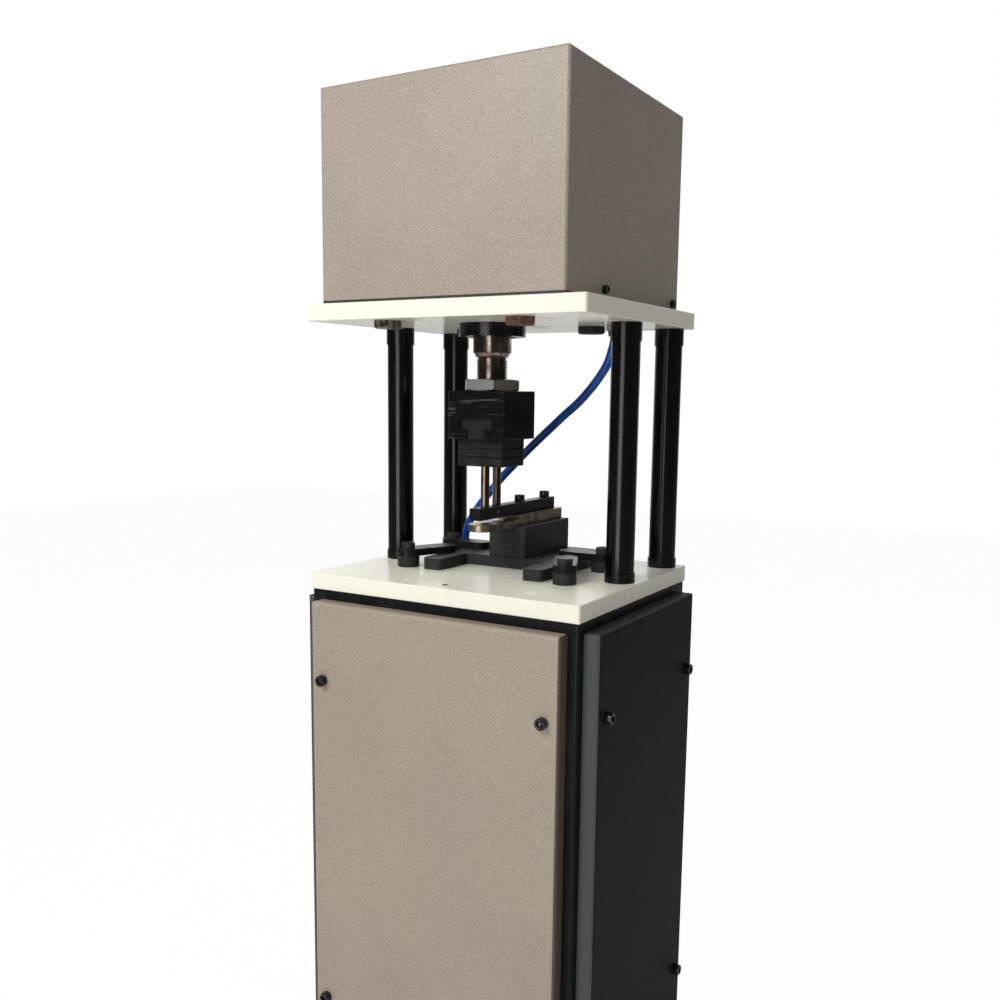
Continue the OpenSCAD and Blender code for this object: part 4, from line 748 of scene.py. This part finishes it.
def knurled_screws(name, node):
    """Replace each plain screw of a node by a detailed one in the same place."""
    plain, made = merged_copy(node), bmesh.new()
    for part in loose_parts(plain):
        low = Vector([min(v.co[i] for v in part) for i in range(3)])
        high = Vector([max(v.co[i] for v in part) for i in range(3)])
        long = max(range(3), key=lambda i: high[i] - low[i])
        middle = (low + high) / 2
        reach = {v: math.dist([c for i, c in enumerate(v.co) if i != long],
                              [c for i, c in enumerate(middle) if i != long]) for v in part}
        head_r = max(reach.values())
        rim = [v.co[long] for v in part if reach[v] > head_r * 0.99]
        outward = 1 if sum(rim) / len(rim) > middle[long] else -1
        seat = min(rim) if outward > 0 else max(rim)
        top, tip = (high[long], low[long]) if outward > 0 else (low[long], high[long])
        shank_r = max(reach[v] for v in part if abs(v.co[long] - tip) < TOLERANCE)
        screw = bmesh.new()
        stack_rings(screw, head_rings(head_r, abs(top - seat), shank_r, abs(seat - tip)))
        direction = Vector([outward if i == long else 0 for i in range(3)])
        seat_at = middle.copy()
        seat_at[long] = seat
        turned = Vector((0, 0, 1)).rotation_difference(direction).to_matrix().to_4x4()
        bmesh.ops.transform(screw, matrix=Matrix.Translation(seat_at) @ turned, verts=screw.verts)
        held = bpy.data.meshes.new("one_screw")
        screw.to_mesh(held)
        screw.free()
        made.from_mesh(held)
        bpy.data.meshes.remove(held)
    plain.free()
    settle(made, name, black_screws, "frame", [node])


knurled_screws("knurled_cover_screws", "panel_screws")
knurled_screws("knurled_hood_screws", "hood_screws")
knurled_screws("knurled_stripper_screws", "stripper_screws")

# %% [markdown]
# A push-in hose fitting ends in a small ring that is pressed to let go of the hose. Each ring is a
# closed stack of rings round the hose. A bright set screw in the bar's side completes the small
# things.

# %% Release rings and set screw
RING_H = 2.4 * MM
RING_BORE_R, RING_NECK_R, RING_RIM_R, RING_TOP_R = 5.1 * MM, 6.3 * MM, 6.9 * MM, 6.5 * MM
SET_SCREW_KEY = 2.0 * MM
SET_SCREW_BEHIND = 5 * MM


def release_ring(name, knot, end, outward):
    """A ring round the hose at one of its end points, on the end face of a fitting."""
    ring = bmesh.new()
    h = RING_H * outward
    stack_rings(ring, [
        (0, RING_BORE_R), (0, RING_NECK_R), (h * 0.45, RING_NECK_R), (h * 0.55, RING_RIM_R),
        (h * 0.9, RING_RIM_R), (h, RING_TOP_R), (h, RING_BORE_R), (0, RING_BORE_R)], closed=True)
    centre = at(*knot)
    bmesh.ops.translate(ring, verts=ring.verts, vec=(centre.x, centre.y, end))
    settle(ring, name, dark_plastic, "frame")


release_ring("upper_release_ring", HOSE[0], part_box("upper_hose_fitting")[0][2], -1)
release_ring("lower_release_ring", HOSE[-1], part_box("lower_hose_fitting")[1][2], 1)

bar_low, bar_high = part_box("stripper_bar")
punch_low, punch_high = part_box("punches")
set_screw = bmesh.new()
stack_rings(set_screw, [
    (-1.4 * MM, 1.9 * MM), (-0.5 * MM, 1.9 * MM), (-0.25 * MM, 1.6 * MM),
    (-0.25 * MM, hexagon(SET_SCREW_KEY)), (-1.1 * MM, hexagon(SET_SCREW_KEY)),
    (-1.2 * MM, 0.3 * MM)])
screw_at = Matrix.Translation((
    bar_high[0], (punch_low[1] + punch_high[1]) / 2 + SET_SCREW_BEHIND,
    (bar_low[2] + bar_high[2]) / 2))
sideways = Matrix.Rotation(math.pi / 2, 4, "Y")
bmesh.ops.transform(set_screw, matrix=screw_at @ sideways, verts=set_screw.verts)
settle(set_screw, "bar_set_screw", ground_steel, "frame")

# %% [markdown]
# The cabinet's frame is welded from square tube. Where a rail meets a post, a short bead of weld
# closes the joint. A bead is a row of small overlapping drops, so it is the same stack of rings
# again, with a radius that goes up and down, half sunk into the tube.

# %% Weld beads of the frame
BEAD_R = 2.2 * MM
BEAD_SUNK = 1.3 * MM
DROP = 1.6 * MM
POST_W = 44 * MM
BEAD_MARGIN = 1.5 * MM
BEAD_OFFSET = 0.6 * MM
BEAD_SEGMENTS = 10
SWELL_SHARES = (0.86, 1.0)
END_SHARE = 0.4


def weld_beads(name, rail_node):
    """Beads up the outer face of each rail end, where the rail meets its post."""
    work = bmesh.new()
    low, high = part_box(rail_node)
    drops = int((high[2] - low[2] - 2 * BEAD_MARGIN) / DROP)
    rings = [(i * DROP, BEAD_R * (END_SHARE if i in (0, drops) else SWELL_SHARES[i % 2]))
             for i in range(drops + 1)]
    for along in (0, 1):
        for side in (-1, 1):
            for end in (-1, 1):
                spot = Vector((0, 0, low[2] + BEAD_MARGIN))
                spot[1 - along] = side * (high[1 - along] - BEAD_SUNK)
                spot[along] = end * (high[along] - POST_W + BEAD_OFFSET)
                before = set(work.verts)
                stack_rings(work, rings, segments=BEAD_SEGMENTS)
                added = [vert for vert in work.verts if vert not in before]
                bmesh.ops.translate(work, verts=added, vec=spot)
    settle(work, name, frame_black, "frame")


weld_beads("upper_weld_beads", "upper_rails")
weld_beads("lower_weld_beads", "lower_rails")

# %% [markdown]
# The studio is plain: a pale floor and a white surrounding. Gloss paint mirrors the surrounding, so
# the surrounding is white behind the machine and dim on the side of the camera, as in a real
# studio. The camera sees both as nearly pure white, and the floor keeps only a hint of the
# machine's shadow.

# %% Floor and surrounding
FLOOR_HALF_M = 6
FLOOR_SEEN_WHITE = 0.97
AIR_DIM, AIR_WHITE = 0.24, 1.0
MIRRORED_GAIN, MIRRORED_LOSS = 0.86, 0.14
BEHIND = (-0.5, 0.86, 0.0)
WHITE = (1, 1, 1, 1)
FLOOR_COLOUR = (0.82, 0.81, 0.79, 1)

floor_mesh = bpy.data.meshes.new("studio_floor")
ground = bmesh.new()
bmesh.ops.create_grid(ground, x_segments=1, y_segments=1, size=FLOOR_HALF_M)
ground.to_mesh(floor_mesh)
ground.free()
studio_floor = bpy.data.objects.new("studio_floor", floor_mesh)
bpy.context.scene.collection.objects.link(studio_floor)
f = Finish("studio_floor")
seen, = f.named("LightPath", "Is Camera Ray")
pale = f.node("BsdfDiffuse", None, {"Color": FLOOR_COLOUR})
glow = f.node("Emission", None, {"Color": WHITE, "Strength": 1.0})
mix = f.node("MixShader", None, {0: seen * FLOOR_SEEN_WHITE, 1: pale, 2: glow})
f.node("OutputMaterial", None, {"Surface": mix})
floor_mesh.materials.append(f.material)

air = Finish("studio_air", bpy.data.worlds.new("studio_air"))
bpy.context.scene.world = air.material
camera_ray, glossy_ray, clear_ray = air.named(
    "LightPath", "Is Camera Ray", "Is Glossy Ray", "Is Transmission Ray")
shown = air.node("Math", {"operation": "MINIMUM"}, {0: camera_ray + clear_ray, 1: 1.0})
backward = step(air, dot(air, air.node("TexCoord"), BEHIND), 0.55, 0.92)
mirrored = glossy_ray * (backward * MIRRORED_GAIN - MIRRORED_LOSS)
strength = between(air, AIR_DIM, AIR_WHITE, shown) + mirrored
sky = air.node("Background", None, {"Color": WHITE, "Strength": strength})
air.node("OutputWorld", None, {"Surface": sky})
print("studio:", studio_floor.name, air.material.name)

# %% [markdown]
# Six soft lights. The key stands high in front on the left, and a broad low one straight in front
# draws the long pale stripe down each pillar. A small one and one from the left reach the table
# under the crown, a weak one stands on the right and one behind, so that the back can be judged
# too. The left one has no mirror image, because it would draw a second stripe on the pillars.
# Places, aims and sizes are in metres.

# %% Lights
LAMPS = {
    "key_light": ((-0.7, -2.2, 2.5), (0, 0, 0.75), (1.4, 1.4), 41),
    "front_light": ((0.15, -2.1, 0.55), (0, 0, 0.55), (1.0, 1.1), 15.5),
    "table_light": ((-0.1, -1.15, 1.50), (0, -0.05, 0.65), (0.5, 0.3), 4.8),
    "left_light": ((-1.25, -0.1, 1.42), (0.05, -0.02, 0.65), (0.9, 0.6), 9),
    "back_light": ((-0.9, 1.9, 2.25), (0, 0, 0.75), (1.3, 1.1), 24),
    "side_light": ((2.1, 0.2, 1.9), (0, 0, 0.95), (0.6, 1.2), 6.5),
}


def soft_light(name, place_m, aim_m, size, watts):
    """Area light at its place, turned to its aim."""
    lamp = bpy.data.objects.new(name, bpy.data.lights.new(name, "AREA"))
    lamp.data.shape = "RECTANGLE"
    lamp.data.size, lamp.data.size_y = size
    lamp.data.energy = watts
    lamp.location = place_m
    reach = Vector(aim_m) - Vector(place_m)
    lamp.rotation_euler = reach.to_track_quat("-Z", "Y").to_euler()
    bpy.context.scene.collection.objects.link(lamp)
    return lamp


lamps = {name: soft_light(name, *values) for name, values in LAMPS.items()}
lamps["left_light"].visible_glossy = False
bpy.context.scene.view_settings.view_transform = "Standard"
print("lights:", len(lamps))
